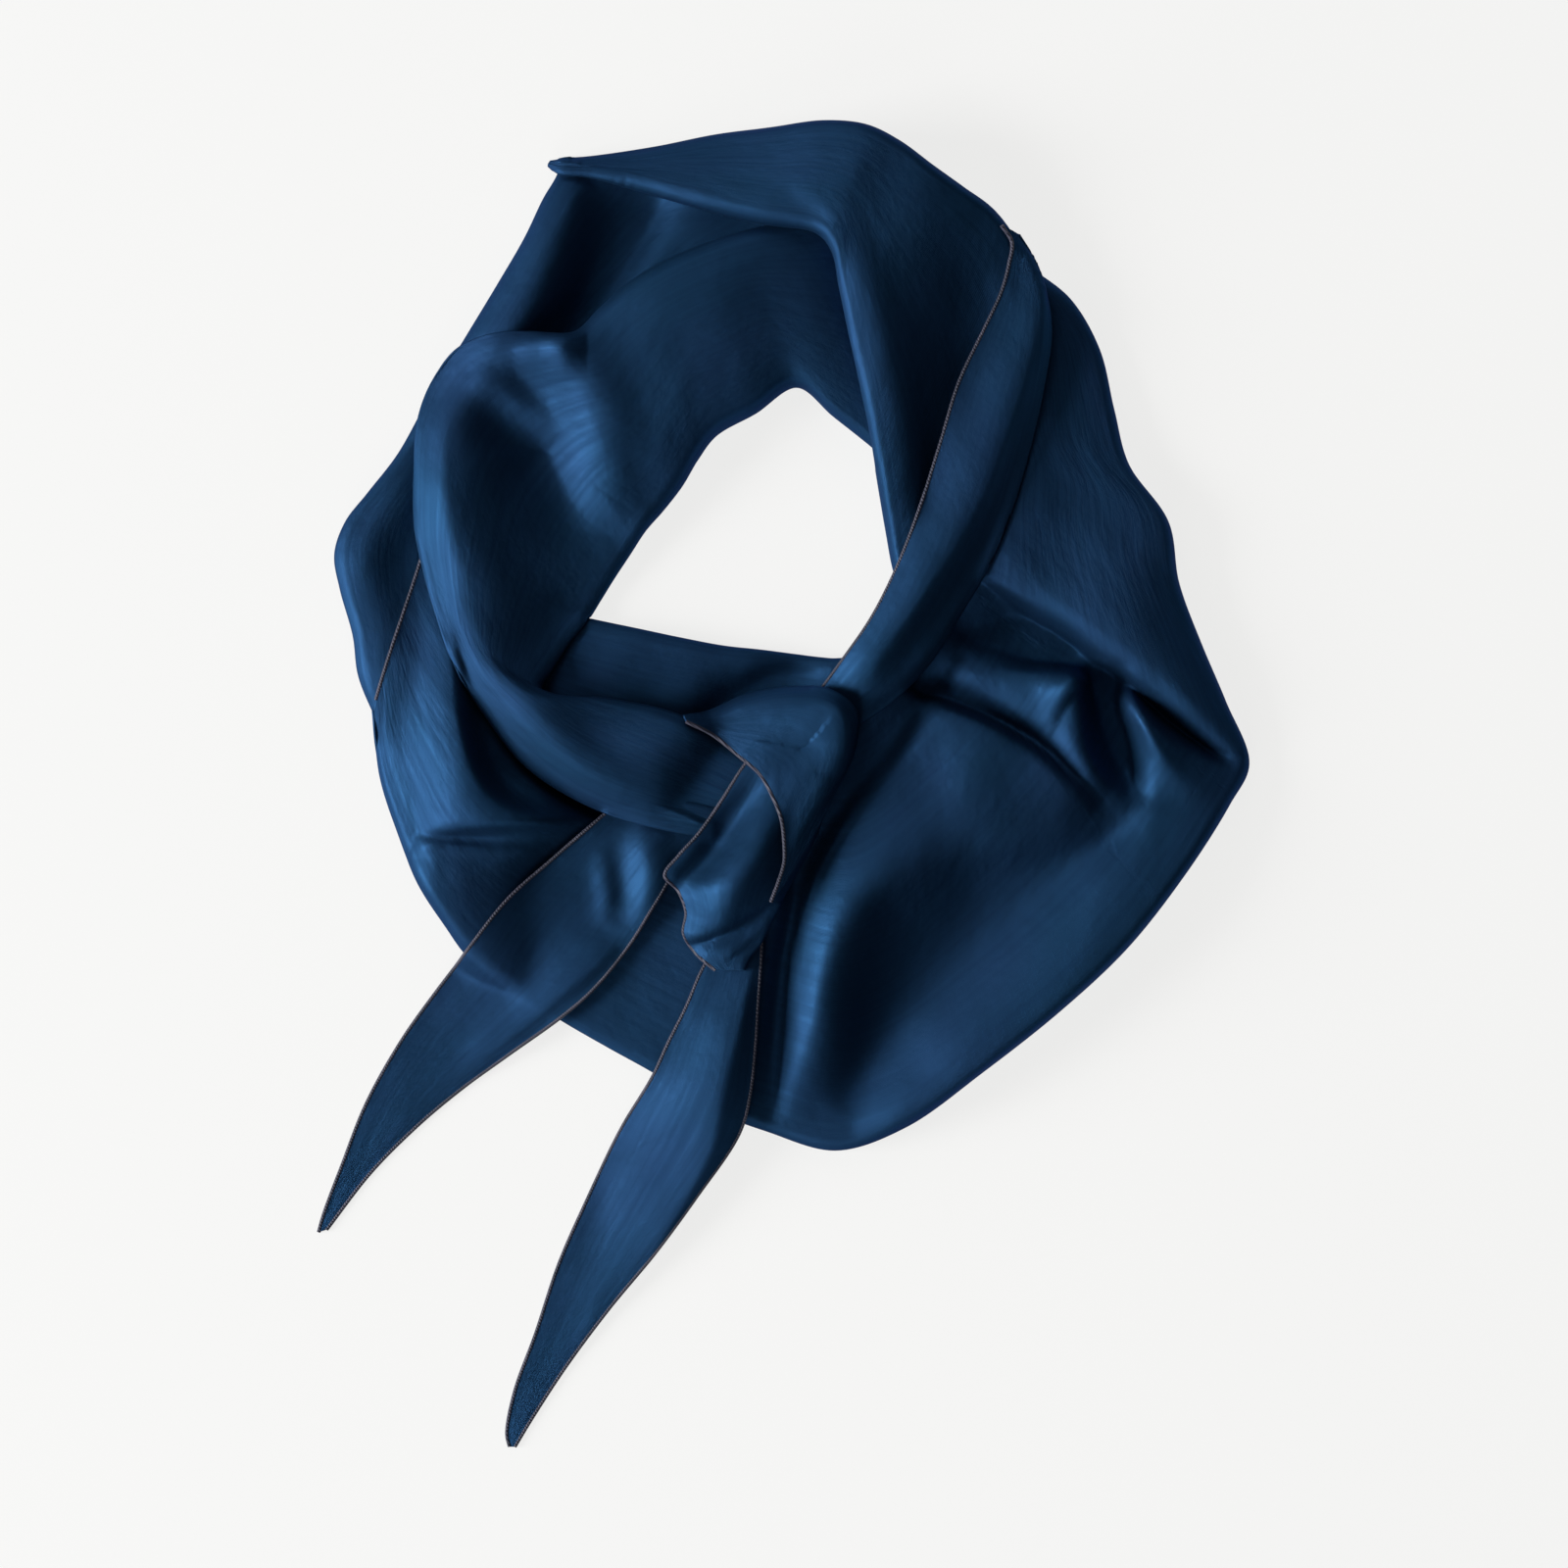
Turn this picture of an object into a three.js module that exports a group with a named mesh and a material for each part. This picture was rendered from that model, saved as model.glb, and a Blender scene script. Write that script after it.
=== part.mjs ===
// A silk satin neck scarf: a square folded on its diagonal into a band, closed at the front
// with a knot over its wide panel, and laid flat on a table.
// Millimetres. X points to the right, Y to the back of the neck opening, Z up from the table.

import * as THREE from 'three';

// Cloth
const WALL = 1.2;
const GAP = 0.4;
const ROLL = 6;
const ROLL_SHARE = 0.28;
const ROLL_DEPTH = 20;
const ROLL_ANGLES = [-35, 35];
const TUCK = 12;
const TUCK_SHARE = 0.2;
const LIP_ROOM = 1.5;
const EDGE_BLEND = 2.5;
const CROWN_POWER = 2.4;
const FOLD_STEPS = 4;
const LEAST_REACH = 8;

// Rolled hem
const HEM_RADIUS = 1.3;
const HEM_SIDES = 4;
const HEM_CHECKS = [0.25, 0.5, 0.75];

// Lattice of the heights that the next piece lies on
const CELL = 1;
const HALF_X = 200;
const HALF_Y = 276;
const STEEPEST = 1.3;
const SETTLE_PASSES = 40;
const CLOSE = 0.01;
const LEAST_AREA = 1e-9;
const LAST_CELL = 1.001;

// Middle of the drawn outline, which the part's origin lies under
const MIDDLE_X = -1.94;
const MIDDLE_Y = -3.19;

const NAVY = 0x1a3c69;
const HEM_GREY = 0x625a66;
const ROUGHNESS = 0.55;

// A table's rows, each turned into an object with the named columns.
function table(columns, rows) {
  const names = columns.split(' ');
  return rows.map((row) => Object.fromEntries(names.map((name, i) => [name, row[i]])));
}

const SECTION = 'ix iy iz ox oy oz crown';
const FOLD = 'power path';

// Each section's row holds the inner edge point and the outer one, with the height of the cloth
// at both and halfway. Each fold's row holds how sharply it falls off and its path, and a row of
// the path holds x, y, the rise and the reach to the left and right of the way it runs.

const OUTER_BAND = {
  name: 'neck_band_outer',
  steps: 18,
  across: 4,
  inner: 'free',
  outer: 'fold',
  sections: table(SECTION, [
    [-121, 3, 4, -148, 10, 6, 7],
    [-122, 22, 4, -157, 28, 8, 10],
    [-121, 40, 4, -162, 41, 9, 10],
    [-118, 59, 4, -164, 56, 9, 7],
    [-116, 78, 4, -169, 74, 9, 5],
    [-112, 94, 4, -171, 87, 9, 5],
    [-109, 106, 4, -167, 99, 9, 5],
    [-104, 119, 4, -158.5, 110, 9, 7],
    [-94, 133, 3, -147, 125, 9, 8],
    [-83, 146, 3, -134, 148.5, 8, 9],
    [-70, 160, 3, -121.5, 168.5, 8, 9],
    [-54, 174, 5, -109, 189, 7, 9],
    [-36, 188, 7, -98.5, 207, 7, 9],
    [-18, 199, 10, -91.5, 222, 7, 9],
    [0, 208, 12, -87, 230, 7, 9],
    [12, 213, 14, -85, 235, 7, 9],
  ]),
  folds: table(FOLD, [
    [2, [
      [-126, 138, 0, 10, 6], [-114, 152, 5, 14, 9], [-103, 170, 9, 16, 11], [-92, 190, 10, 17, 12],
      [-85, 208, 9, 15, 11], [-81, 223, 5, 11, 8], [-80, 232, 0, 6, 5],
    ]],
    [2, [
      [-92, 152, 0, 8, 8], [-85, 166, -5, 14, 8], [-74, 182, -8, 16, 8], [-62, 199, -9.5, 17, 7],
      [-53, 214, -8, 16, 7], [-47, 225, -4, 12, 7], [-44, 231, 0, 8, 6],
    ]],
    [2, [
      [-149, 32, 0, 8, 10], [-152.5, 52, 2.5, 9, 11], [-156, 72, 4, 10, 11], [-158, 86, 5, 10, 11],
      [-154, 97, 4.5, 10, 11], [-145, 110, 3, 9, 11], [-137, 124, 0, 6, 8],
    ]],
  ]),
};

const FRONT_PANEL = {
  name: 'front_panel',
  steps: 50,
  across: 12,
  inner: 'fold',
  outer: 'fold',
  hems: { hem_front_panel: 'start' },
  sections: table(SECTION, [
    [-133, 101, 2, -156, 27, 8, 8],
    [-118, 89, 2, -154, 3, 7, 9],
    [-101, 75, 2, -147, -19, 9, 10],
    [-86, 65, 2, -139.5, -37.5, 10, 10],
    [-73, 62, 5, -129, -54, 8, 9],
    [-56, 58.4, 8, -119.5, -67, 6, 9],
    [-39, 54.8, 9, -104, -78, 4, 7],
    [-23, 51.8, 9, -86, -90, 4, 7],
    [-9, 50.3, 9, -67, -101, 4, 8],
    [3, 48.8, 8, -49, -111, 5, 8],
    [14, 47.4, 8, -29, -124, 6, 9],
    [20, 47, 8, -6, -133, 7, 11],
    [26, 48, 8, 20, -140, 8, 12],
    [30, 52, 8, 46, -131, 11, 12],
    [35, 58, 8, 75, -110, 13, 12],
    [40, 64, 7, 104.5, -86.5, 14, 12],
    [44, 71, 6, 130.5, -62, 14, 12],
    [49, 78, 5, 153, -33.5, 13, 12],
    [52, 86, 5, 169.5, -8, 11, 13],
    [56, 93, 5, 177, 7, 8, 14],
    [60, 101, 6, 168, 30.5, 8, 15],
    [63, 110, 6, 158.5, 53, 8, 15],
    [66, 119, 6, 150, 76, 8, 15],
    [69, 131, 6, 146, 99, 8, 14],
    [72, 142, 6, 131, 121, 8, 12],
    [75, 155, 6, 125.5, 142, 8, 10],
    [78, 168, 6, 120, 165, 8, 9],
    [80, 180, 6, 109, 184, 8, 9],
    [77, 191, 6, 94, 196, 7, 8],
  ]),
  folds: table(FOLD, [
    [2, [
      [-129, 78, 0, 5, 14], [-127, 58, 6, 5, 14], [-125, 38, 10, 5, 18], [-122, 17, 12, 5, 20],
      [-115, -1, 12.5, 5, 21], [-103, -12, 9.5, 6, 18], [-89, -16, 5.5, 5, 13], [-76, -18, 0, 5, 8],
    ]],
    [2, [
      [-136, -28, 0, 10, 8], [-131, -41, 6, 22, 8], [-122, -55, 7, 24, 8], [-110, -68, 5, 20, 8],
      [-98, -78, 0, 8, 6],
    ]],
    [2, [
      [-122, -33, 0, 6, 8], [-112, -34, -1, 8, 12], [-101, -34, -2, 10, 16], [-90, -34, -4, 11, 18],
      [-76, -32, -7, 11, 16], [-62, -29, -5, 8, 12], [-50, -25, 0, 6, 8],
    ]],
    [2, [
      [-118, 59, 0, 5, 4], [-114, 48, -5, 7, 5], [-108, 34, -10, 8, 5], [-101, 18, -12, 9, 5],
      [-89, 4, -12, 10, 5], [-76, -6, -10, 10, 5], [-64, -13, -6, 8, 4], [-54, -18, 0, 6, 4],
    ]],
    [2, [
      [67, 54, -2, 8, 8], [57, 40, -7, 7, 9], [40, 15, -7, 6, 9], [22, -8, -7, 6, 9],
      [7, -34, -8, 6, 7], [4, -49, -7, 5, 5], [0, -70, -6, 5, 5], [-3, -98, -5, 5, 5],
      [-5, -124, -2, 5, 5], [-6, -132, 0, 4, 4],
    ]],
    [2, [
      [36, 37, 3, 3, 14], [48, 33, 5.5, 3, 22], [61, 28, 7, 3, 26], [77, 21, 8, 3, 30],
      [94, 11, 7, 3, 28], [108, -1, 5.5, 3, 18], [119, -9, 0, 3, 10],
    ]],
    [2, [
      [120, -14, 0, 10, 12], [98, -17, 4, 12, 16], [71, -21, 8, 14, 20], [50, -28, 10, 14, 20],
      [33, -38, 11.5, 13, 16], [22, -54, 10.5, 13, 12], [16, -71, 9.5, 13, 9],
      [13, -91, 7.5, 13, 8], [9, -107, 4, 12, 8], [4, -122, 1, 9, 7], [2, -132, 0, 6, 6],
    ]],
    [2, [
      [137, -8, 0, 6, 6], [124, -20, -5, 8, 7], [112, -28, -7, 10, 9], [97, -38, -9, 16, 16],
      [81, -49, -10.5, 20, 22], [62, -65, -10.5, 22, 20], [46, -83, -9.5, 19, 16],
      [36, -100, -8, 16, 13], [28, -115, -4, 12, 10], [22, -126, 0, 8, 8],
    ]],
    [2, [
      [175, 4, 0, 5, 10], [167, -13, 3, 5, 16], [151, -37, 6, 6, 22], [126, -63, 8, 6, 26],
      [100, -86, 8, 6, 26], [70, -110, 7, 6, 22], [43, -126, 4, 6, 14], [26, -131, 0, 6, 10],
    ]],
    [2, [
      [124, 160, 0, 10, 12], [132, 145, 1, 8, 18], [141, 121, 3, 8, 24], [148, 96, 4, 8, 26],
      [152, 76, 2, 8, 16], [156, 60, 0, 8, 8],
    ]],
    [2, [
      [56, 61, 0, 8, 8], [67, 59, -7, 9, 9], [83, 56, -12, 9, 8], [98, 52, -13, 8, 7],
      [108, 49, -8, 6, 6], [114, 47, 0, 4, 4],
    ]],
    [1.8, [
      [69, 79, 0, 3, 9], [80, 72, -5, 2.5, 12], [94, 62, -10, 2.5, 14], [107, 54, -12, 2.5, 14],
      [119, 45, -12, 2.5, 10], [132, 36, -11, 2.5, 6], [146, 24, -9, 2.5, 4], [161, 13, -6, 2.5, 3],
      [173, 6, 0, 3, 3],
    ]],
    [2, [
      [77, 90, 0, 10, 10], [96, 75, 3.5, 18, 10], [114, 62, 6, 24, 8], [134, 48, 6, 24, 7],
      [152, 33, 5, 18, 6], [168, 17, 2, 8, 4], [174, 11, 0, 6, 3],
    ]],
    [2, [
      [99, 138, 0, 10, 6], [94, 118, 2.5, 14, 6], [87, 98, 4.5, 16, 6], [79, 82, 5.5, 17, 6],
      [70, 68, 5.5, 16, 6], [60, 55, 4.5, 14, 6], [49, 43, 0, 8, 6],
    ]],
    [1.8, [
      [66, 41, 0, 3, 8], [78, 41, 1.5, 3, 12], [91, 41, 4.5, 3, 14], [103, 41, 8, 3, 14],
      [111, 39, 9, 3, 6], [116, 36, 0, 3, 4],
    ]],
    [2, [
      [121, 46, 0, 5, 6], [122, 38, -11, 5, 7], [124, 27, -15, 5, 8], [128, 16, -15, 5, 9],
      [131, 5, -11, 5, 8], [134, -4, -5, 4, 7], [136, -10, 0, 4, 5],
    ]],
    [1.8, [
      [127, 43, 0, 5, 4], [131, 35, 6, 5, 4], [135, 25, 8, 5, 4], [140, 15, 7, 6, 5],
      [147, 6, 4, 7, 7], [156, 0, 2, 8, 8], [166, -3, 0, 6, 6],
    ]],
  ]),
};

const LEFT_TAIL = {
  name: 'tail_left',
  steps: 16,
  across: 4,
  inner: 'free',
  outer: 'free',
  hems: { hem_tail_left_outer: 'inner', hem_tail_left_inner: 'outer' },
  sections: table(SECTION, [
    [-60, -5, 9, -29, -18, 9, 10],
    [-74, -17, 9, -40, -31, 9, 9],
    [-89, -30, 9, -49, -46, 9, 8],
    [-104.5, -44, 9, -59, -62, 9, 8],
    [-120.8, -64.6, 5, -73, -79, 9, 6],
    [-133.5, -80.9, 2, -85.5, -89.7, 7, 3],
    [-146.3, -98.9, -2, -105.3, -103.9, 3, 0],
    [-159.6, -122.6, -5, -123.3, -117, -2, -2],
    [-169, -146.4, -5, -139.6, -130.6, -3, -3],
    [-176, -165, -5, -158, -149, -5, -4],
    [-178, -172, -5, -175, -171, -5, -4],
  ]),
  folds: table(FOLD, [
    [2, [
      [-60, -54, 0, 4, 8], [-70, -67, 2.5, 4, 13], [-84, -79, 3, 4, 14], [-102, -94, 2.5, 4, 13],
      [-120, -108, 1.5, 4, 10], [-138, -122, 1, 4, 8], [-158, -144, 0, 3, 6],
    ]],
  ]),
};

const LEFT_BAND = {
  name: 'neck_band_left',
  steps: 32,
  across: 8,
  inner: 'fold',
  outer: 'fold',
  sections: table(SECTION, [
    [51, 112, 9, 43, 209, 12, 13],
    [36, 126, 11, 24, 215, 15, 17],
    [19, 139.5, 14, 2, 212, 18, 22],
    [5, 150.5, 16, -19, 207, 20, 25],
    [-11, 140.5, 16, -36, 201, 21, 27],
    [-26, 132, 15, -54, 192, 21, 27],
    [-33, 123, 14, -69, 180, 20, 25],
    [-39, 113, 13, -80, 170, 19, 22],
    [-46, 104, 12, -95, 170, 17, 18],
    [-53, 96, 12, -111, 169, 14, 14],
    [-59, 87, 9, -124, 164, 11, 13],
    [-65, 78, 7, -134, 151, 11, 12],
    [-70, 70, 6, -139, 136, 12, 11],
    [-75, 62, 6, -140, 117, 14, 10],
    [-82, 53, 8, -140, 98, 14, 10],
    [-88, 43, 11, -136, 78, 14, 10],
    [-92, 35, 14, -131, 62, 14, 12],
    [-83, 32, 16, -124.5, 44, 14, 16],
    [-70, 32, 17, -114, 26.5, 14, 19],
    [-57, 30, 17, -98.5, 6.5, 13, 19],
    [-44, 27, 18, -76, -8, 12, 20],
    [-32, 22, 18, -55, -15.5, 11, 18],
    [-18, 14, 9, -34, -20, 9, 10],
    [-6, 6, 7, -18, -23, 7, 8],
  ]),
  folds: table(FOLD, [
    [2, [
      [-74, 166, 0, 10, 6], [-84, 166, 7, 12, 6], [-95, 164, 8, 12, 6], [-105, 160, 6, 12, 7],
      [-114, 153, 5, 12, 8], [-121, 144, 6, 12, 9], [-126, 131, 9, 16, 10], [-126, 116, 12, 22, 11],
      [-124, 98, 13, 27, 12], [-120, 80, 12.5, 29, 12], [-117, 64, 11.5, 25, 12],
      [-111, 50, 10, 19, 11], [-100.5, 35, 8, 14, 11], [-88, 19, 7, 12, 10], [-71, 5, 5, 12, 9],
      [-52, -2, 2, 12, 9], [-40, -7, 0, 10, 8],
    ]],
    [2, [
      [-116, 153, 0, 6, 6], [-107, 142, -3, 8, 10], [-93, 127, -6, 9, 14], [-86, 112, -5, 9, 16],
      [-83, 98, -2.5, 12, 16], [-80, 84, 0, 14, 14],
    ]],
    [2, [
      [-86, 170, 0, 8, 6], [-82, 163, 4, 12, 8], [-75, 149, 6, 14, 12], [-69, 132, 6, 14, 12],
      [-66, 116, 4, 11, 12], [-66, 104, 2, 9, 11], [-67, 94, 0, 8, 10],
    ]],
    [2, [
      [-119, 156, 0, 5, 5], [-112, 151, 3, 7, 8], [-103, 144, 4, 7, 9], [-95, 137, 3, 7, 9],
      [-87, 130, 0, 5, 6],
    ]],
  ]),
};

const BACK_BAND = {
  name: 'neck_band_back',
  steps: 22,
  across: 5,
  inner: 'fold',
  outer: 'fold',
  sections: table(SECTION, [
    [-87, 232, 7, -84, 236, 7, 7],
    [-74, 230, 12, -69, 239, 7, 10],
    [-56, 225, 16, -48, 242, 9, 14],
    [-34, 218, 21, -26, 246, 14, 19],
    [-9, 211, 26, -4, 248, 21, 25],
    [12, 207, 30, 15, 249.5, 27, 30],
    [18, 200, 30, 31, 247.5, 30, 31],
    [21, 186, 27, 43.5, 241.5, 30, 29],
    [25, 167, 25, 56, 232.5, 29, 27],
    [29, 149, 24, 67.5, 225, 25, 24],
    [33, 130, 23, 80, 216.5, 20, 20],
    [36, 112, 22, 90, 202, 14, 17],
    [39, 95, 20, 94, 182, 11, 15],
    [42, 80, 18, 89, 152, 12, 14],
    [46, 70, 16, 82, 123, 12, 12],
  ]),
  folds: table(FOLD, [
    [2, [
      [22, 209, 0, 7, 6], [27, 196, 2, 9, 6], [32, 182, 3.5, 9, 9], [37, 167, 4, 9, 12],
      [41, 149, 4.5, 9, 12], [45, 130, 4.5, 8, 12], [48, 112, 4, 8, 11], [51, 95, 3, 7, 9],
      [53, 82, 2, 6, 7], [53, 74, 0, 5, 5],
    ]],
    [2, [
      [60, 212, 0, 14, 14], [66, 200, -2, 15, 15], [70, 184, -4, 15, 16], [68, 161, -5, 13, 15],
      [63, 134, -4, 11, 12], [58, 112, -3, 9, 9], [54, 96, 0, 7, 7],
    ]],
  ]),
};

const RIGHT_BAND = {
  name: 'neck_band_right',
  steps: 18,
  across: 4,
  inner: 'free',
  outer: 'fold',
  hems: { hem_neck_band: 'inner' },
  sections: table(SECTION, [
    [82, 210, 12, 89, 207, 11, 12],
    [86, 204, 15, 95, 198, 12, 15],
    [85, 196, 16, 99, 186, 14, 15],
    [82, 185, 17, 101, 170, 15, 16],
    [75, 170, 18, 98, 149, 15, 17],
    [66, 151, 19, 93, 127, 16, 18],
    [59, 128, 20, 86, 103, 17, 20],
    [52, 106, 20, 78, 83, 17, 21],
    [43, 82, 20, 67, 64, 17, 21],
    [33, 62, 20, 55, 45, 17, 21],
    [22, 46, 18, 40, 30, 15, 20],
    [12, 32, 14, 23, 18, 13, 15],
    [8, 24, 12, 17, 11, 11, 12],
  ]),
  folds: table(FOLD, [
    [2, [
      [99, 200, 0, 5, 5], [97, 183, 3, 5, 9], [93, 162, 4.5, 6, 11], [86, 140, 6, 6, 13],
      [75, 110, 6.5, 6, 15], [63, 88, 7, 6, 16], [51, 70, 7, 6, 15], [34, 46, 4, 6, 12],
      [26, 34, 0, 6, 9],
    ]],
  ]),
};

const RIGHT_TAIL = {
  name: 'tail_right',
  steps: 18,
  across: 4,
  inner: 'free',
  outer: 'free',
  hems: { hem_tail_right_outer: 'inner', hem_tail_right_inner: 'outer' },
  sections: table(SECTION, [
    [-21, -49, 11, -6, -46, 11, 12],
    [-24, -59, 12, -8, -55, 12, 13],
    [-31, -71, 12, -9, -70, 13, 13],
    [-37, -85, 12, -10, -83, 13, 13],
    [-44, -99, 11, -11, -99, 13, 12],
    [-50, -112, 9, -13, -118, 12, 11],
    [-62, -132, 4, -17, -133, 10, 8],
    [-75, -159, -1, -33, -157, 6, 3],
    [-86, -184, -4, -49, -179, 2, 0],
    [-95, -211, -5, -67, -201, -1, -2],
    [-103, -233, -5, -84, -224, -3, -3],
    [-106, -249, -5, -97, -244, -5, -3],
    [-105, -254, -5, -103, -254, -5, -4],
  ]),
  folds: table(FOLD, [
    [2, [
      [-12, -62, 0, 3, 8], [-15, -80, 3, 4, 12], [-19, -98, 6, 6, 15], [-24, -117, 7, 8, 20],
      [-28, -138, 6, 7, 24], [-40, -162, 5, 5, 24], [-55, -186, 4, 4, 18], [-73, -210, 3, 4, 12],
      [-88, -234, 1.5, 3, 8], [-98, -247, 0, 3, 4],
    ]],
  ]),
};

const KNOT_CORE = {
  name: 'knot_core',
  steps: 12,
  across: 4,
  inner: 'free',
  outer: 'fold',
  hems: { hem_knot_core: 'inner' },
  sections: table(SECTION, [
    [-9, 14, 19, 20, 8, 17, 20],
    [-16, 5, 19, 18, -2, 17, 20.5],
    [-23, -6, 19, 15, -12, 17, 21],
    [-32, -19, 19, 11, -23, 17, 22],
    [-40, -28, 19, 6, -32, 17, 23],
    [-45, -35, 18, 1, -41, 17, 23],
    [-40, -41, 17, -3, -49, 17, 22],
    [-37, -49, 16, -6, -55, 16, 21],
    [-38, -57, 15, -9, -61, 15, 20],
    [-34, -64, 14, -13, -66, 15, 18],
    [-26, -71, 12, -15, -71, 13, 14],
  ]),
  folds: table(FOLD, [
    [2, [
      [-7, 5, 0, 4, 4], [-15, -8, -4, 5, 5], [-23, -19, -7, 6, 6], [-29, -29, -7, 6, 6],
      [-38, -37, -4, 5, 5], [-45, -40, 0, 4, 4],
    ]],
    [2, [
      [5, 2, 0, 5, 6], [0, -9, 2, 5, 7], [-6, -18, 4, 6, 8], [-11, -29, 5, 7, 9],
      [-19, -40, 5, 7, 9], [-24, -50, 3, 6, 8], [-27, -56, 0, 5, 6],
    ]],
  ]),
};

const KNOT_WRAP = {
  name: 'knot_wrap',
  steps: 13,
  across: 5,
  inner: 'free',
  outer: 'fold',
  hems: { hem_knot_wrap: 'inner' },
  sections: table(SECTION, [
    [-37, 23, 15, -38, 25, 13, 15],
    [-27, 18, 18, -29, 27, 13, 16],
    [-17, 10, 20, -15, 33, 16, 20],
    [-9, 3, 22, 1, 36, 19, 23],
    [-4, -6, 23, 17, 35, 23, 25],
    [-1, -14, 24, 27, 27, 23, 26],
    [0, -22, 24, 26.5, 12, 20, 25],
    [0, -30, 23, 18, -6, 15, 22],
    [-2, -37, 21, 10, -22, 14, 20],
    [-5, -45, 19, 1, -37, 14, 17],
  ]),
  folds: table(FOLD, [
    [2, [
      [-18, 25, 0, 6, 6], [-6, 27, 1, 7, 8], [7, 28, 2.5, 5, 12], [20, 27, 4.5, 4, 15],
      [22.5, 15, 3.5, 4, 14], [18, 2, 0, 4, 8],
    ]],
  ]),
};

// Heights that a piece can lie on
class Ground {
  constructor() {
    this.columns = Math.round((2 * HALF_X) / CELL) + 1;
    this.rows = Math.round((2 * HALF_Y) / CELL) + 1;
    this.top = new Float64Array(this.columns * this.rows);
  }

  // Adds a closed mesh: each lattice point keeps the highest surface over it.
  add(points, faces) {
    for (const face of faces) {
      const corners = face.map((index) => points[index]);
      this.visit(corners, (cell, x, y, z) => {
        this.top[cell] = Math.max(this.top[cell], z);
      });
    }
  }

  // Calls back for each lattice point under a triangle, with the weights of its corners.
  visit([a, b, c], callback) {
    const area = (b.x - a.x) * (c.y - a.y) - (c.x - a.x) * (b.y - a.y);
    if (Math.abs(area) < LEAST_AREA) {
      return;
    }
    const first = (value, half) => Math.max(0, Math.ceil((value + half) / CELL));
    const last = (value, half, count) => Math.min(count - 1, Math.floor((value + half) / CELL));
    const iLast = last(Math.max(a.x, b.x, c.x), HALF_X, this.columns);
    const jLast = last(Math.max(a.y, b.y, c.y), HALF_Y, this.rows);
    for (let j = first(Math.min(a.y, b.y, c.y), HALF_Y); j <= jLast; j += 1) {
      for (let i = first(Math.min(a.x, b.x, c.x), HALF_X); i <= iLast; i += 1) {
        const x = i * CELL - HALF_X;
        const y = j * CELL - HALF_Y;
        const wb = ((x - a.x) * (c.y - a.y) - (c.x - a.x) * (y - a.y)) / area;
        const wc = ((b.x - a.x) * (y - a.y) - (x - a.x) * (b.y - a.y)) / area;
        const wa = 1 - wb - wc;
        if (wa >= 0 && wb >= 0 && wc >= 0) {
          callback(j * this.columns + i, x, y, wa * a.z + wb * b.z + wc * c.z, [wa, wb, wc]);
        }
      }
    }
  }

  // Works out the lowest middle surface that clears what lies below, and a drape over it.
  prepare() {
    const { columns, rows, top } = this;
    const lifted = top.map((z) => (z > 0 ? z + GAP : 0) + WALL / 2);
    this.clear = lifted.slice();
    for (let j = 1; j < rows - 1; j += 1) {
      for (let i = 1; i < columns - 1; i += 1) {
        for (let dj = -1; dj <= 1; dj += 1) {
          for (let di = -1; di <= 1; di += 1) {
            const z = lifted[(j + dj) * columns + i + di];
            this.clear[j * columns + i] = Math.max(this.clear[j * columns + i], z);
          }
        }
      }
    }
    this.drape = this.clear.slice();
    this.spread(1);
    this.spread(-1);
  }

  // One sweep of a cone of the steepest slope over the lattice.
  spread(step) {
    const { columns, rows, drape } = this;
    const start = step > 0 ? 0 : columns * rows - 1;
    const neighbours = [[-step, 0, 1], [0, -step, 1], [-step, -step, Math.SQRT2], [step, -step, Math.SQRT2]];
    for (let cell = start; cell >= 0 && cell < columns * rows; cell += step) {
      const i = cell % columns;
      const j = (cell - i) / columns;
      for (const [di, dj, distance] of neighbours) {
        if (i + di >= 0 && i + di < columns && j + dj >= 0 && j + dj < rows) {
          const z = drape[(j + dj) * columns + i + di] - distance * CELL * STEEPEST;
          drape[cell] = Math.max(drape[cell], z);
        }
      }
    }
  }

  at(heights, x, y) {
    const u = THREE.MathUtils.clamp((x + HALF_X) / CELL, 0, this.columns - LAST_CELL);
    const v = THREE.MathUtils.clamp((y + HALF_Y) / CELL, 0, this.rows - LAST_CELL);
    const i = Math.floor(u);
    const j = Math.floor(v);
    const cell = j * this.columns + i;
    const near = THREE.MathUtils.lerp(heights[cell], heights[cell + 1], u - i);
    const far = THREE.MathUtils.lerp(heights[cell + this.columns], heights[cell + this.columns + 1], u - i);
    return THREE.MathUtils.lerp(near, far, v - j);
  }
}

// The larger of two heights, with a soft change between them.
function softMax(a, b) {
  return (a + b + Math.hypot(a - b, EDGE_BLEND)) / 2;
}

// A smooth curve through rows of numbers that start with x and y: the row at a share of its way.
function smoothCurve(points, share) {
  const where = share * (points.length - 1);
  const part = Math.min(Math.floor(where), points.length - 2);
  const rest = where - part;
  const beyond = (a, b) => a.map((value, k) => 2 * value - b[k]);
  const [p1, p2] = [points[part], points[part + 1]];
  const p0 = points[part - 1] ?? beyond(p1, p2);
  const p3 = points[part + 2] ?? beyond(p2, p1);
  const step = (a, b) => Math.sqrt(Math.hypot(b[0] - a[0], b[1] - a[1]));
  const [s0, s1, s2] = [step(p0, p1), step(p1, p2), step(p2, p3)];
  const [square, cube] = [rest ** 2, rest ** 3];
  return p1.map((value, k) => {
    const run = (p2[k] - value) / s1;
    const out = ((value - p0[k]) / s0 - (p2[k] - p0[k]) / (s0 + s1) + run) * s1;
    const into = (run - (p3[k] - value) / (s1 + s2) + (p3[k] - p2[k]) / s2) * s1;
    const near = (2 * cube - 3 * square + 1) * value + (cube - 2 * square + rest) * out;
    return near + (3 * square - 2 * cube) * p2[k] + (cube - square) * into;
  });
}

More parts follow.
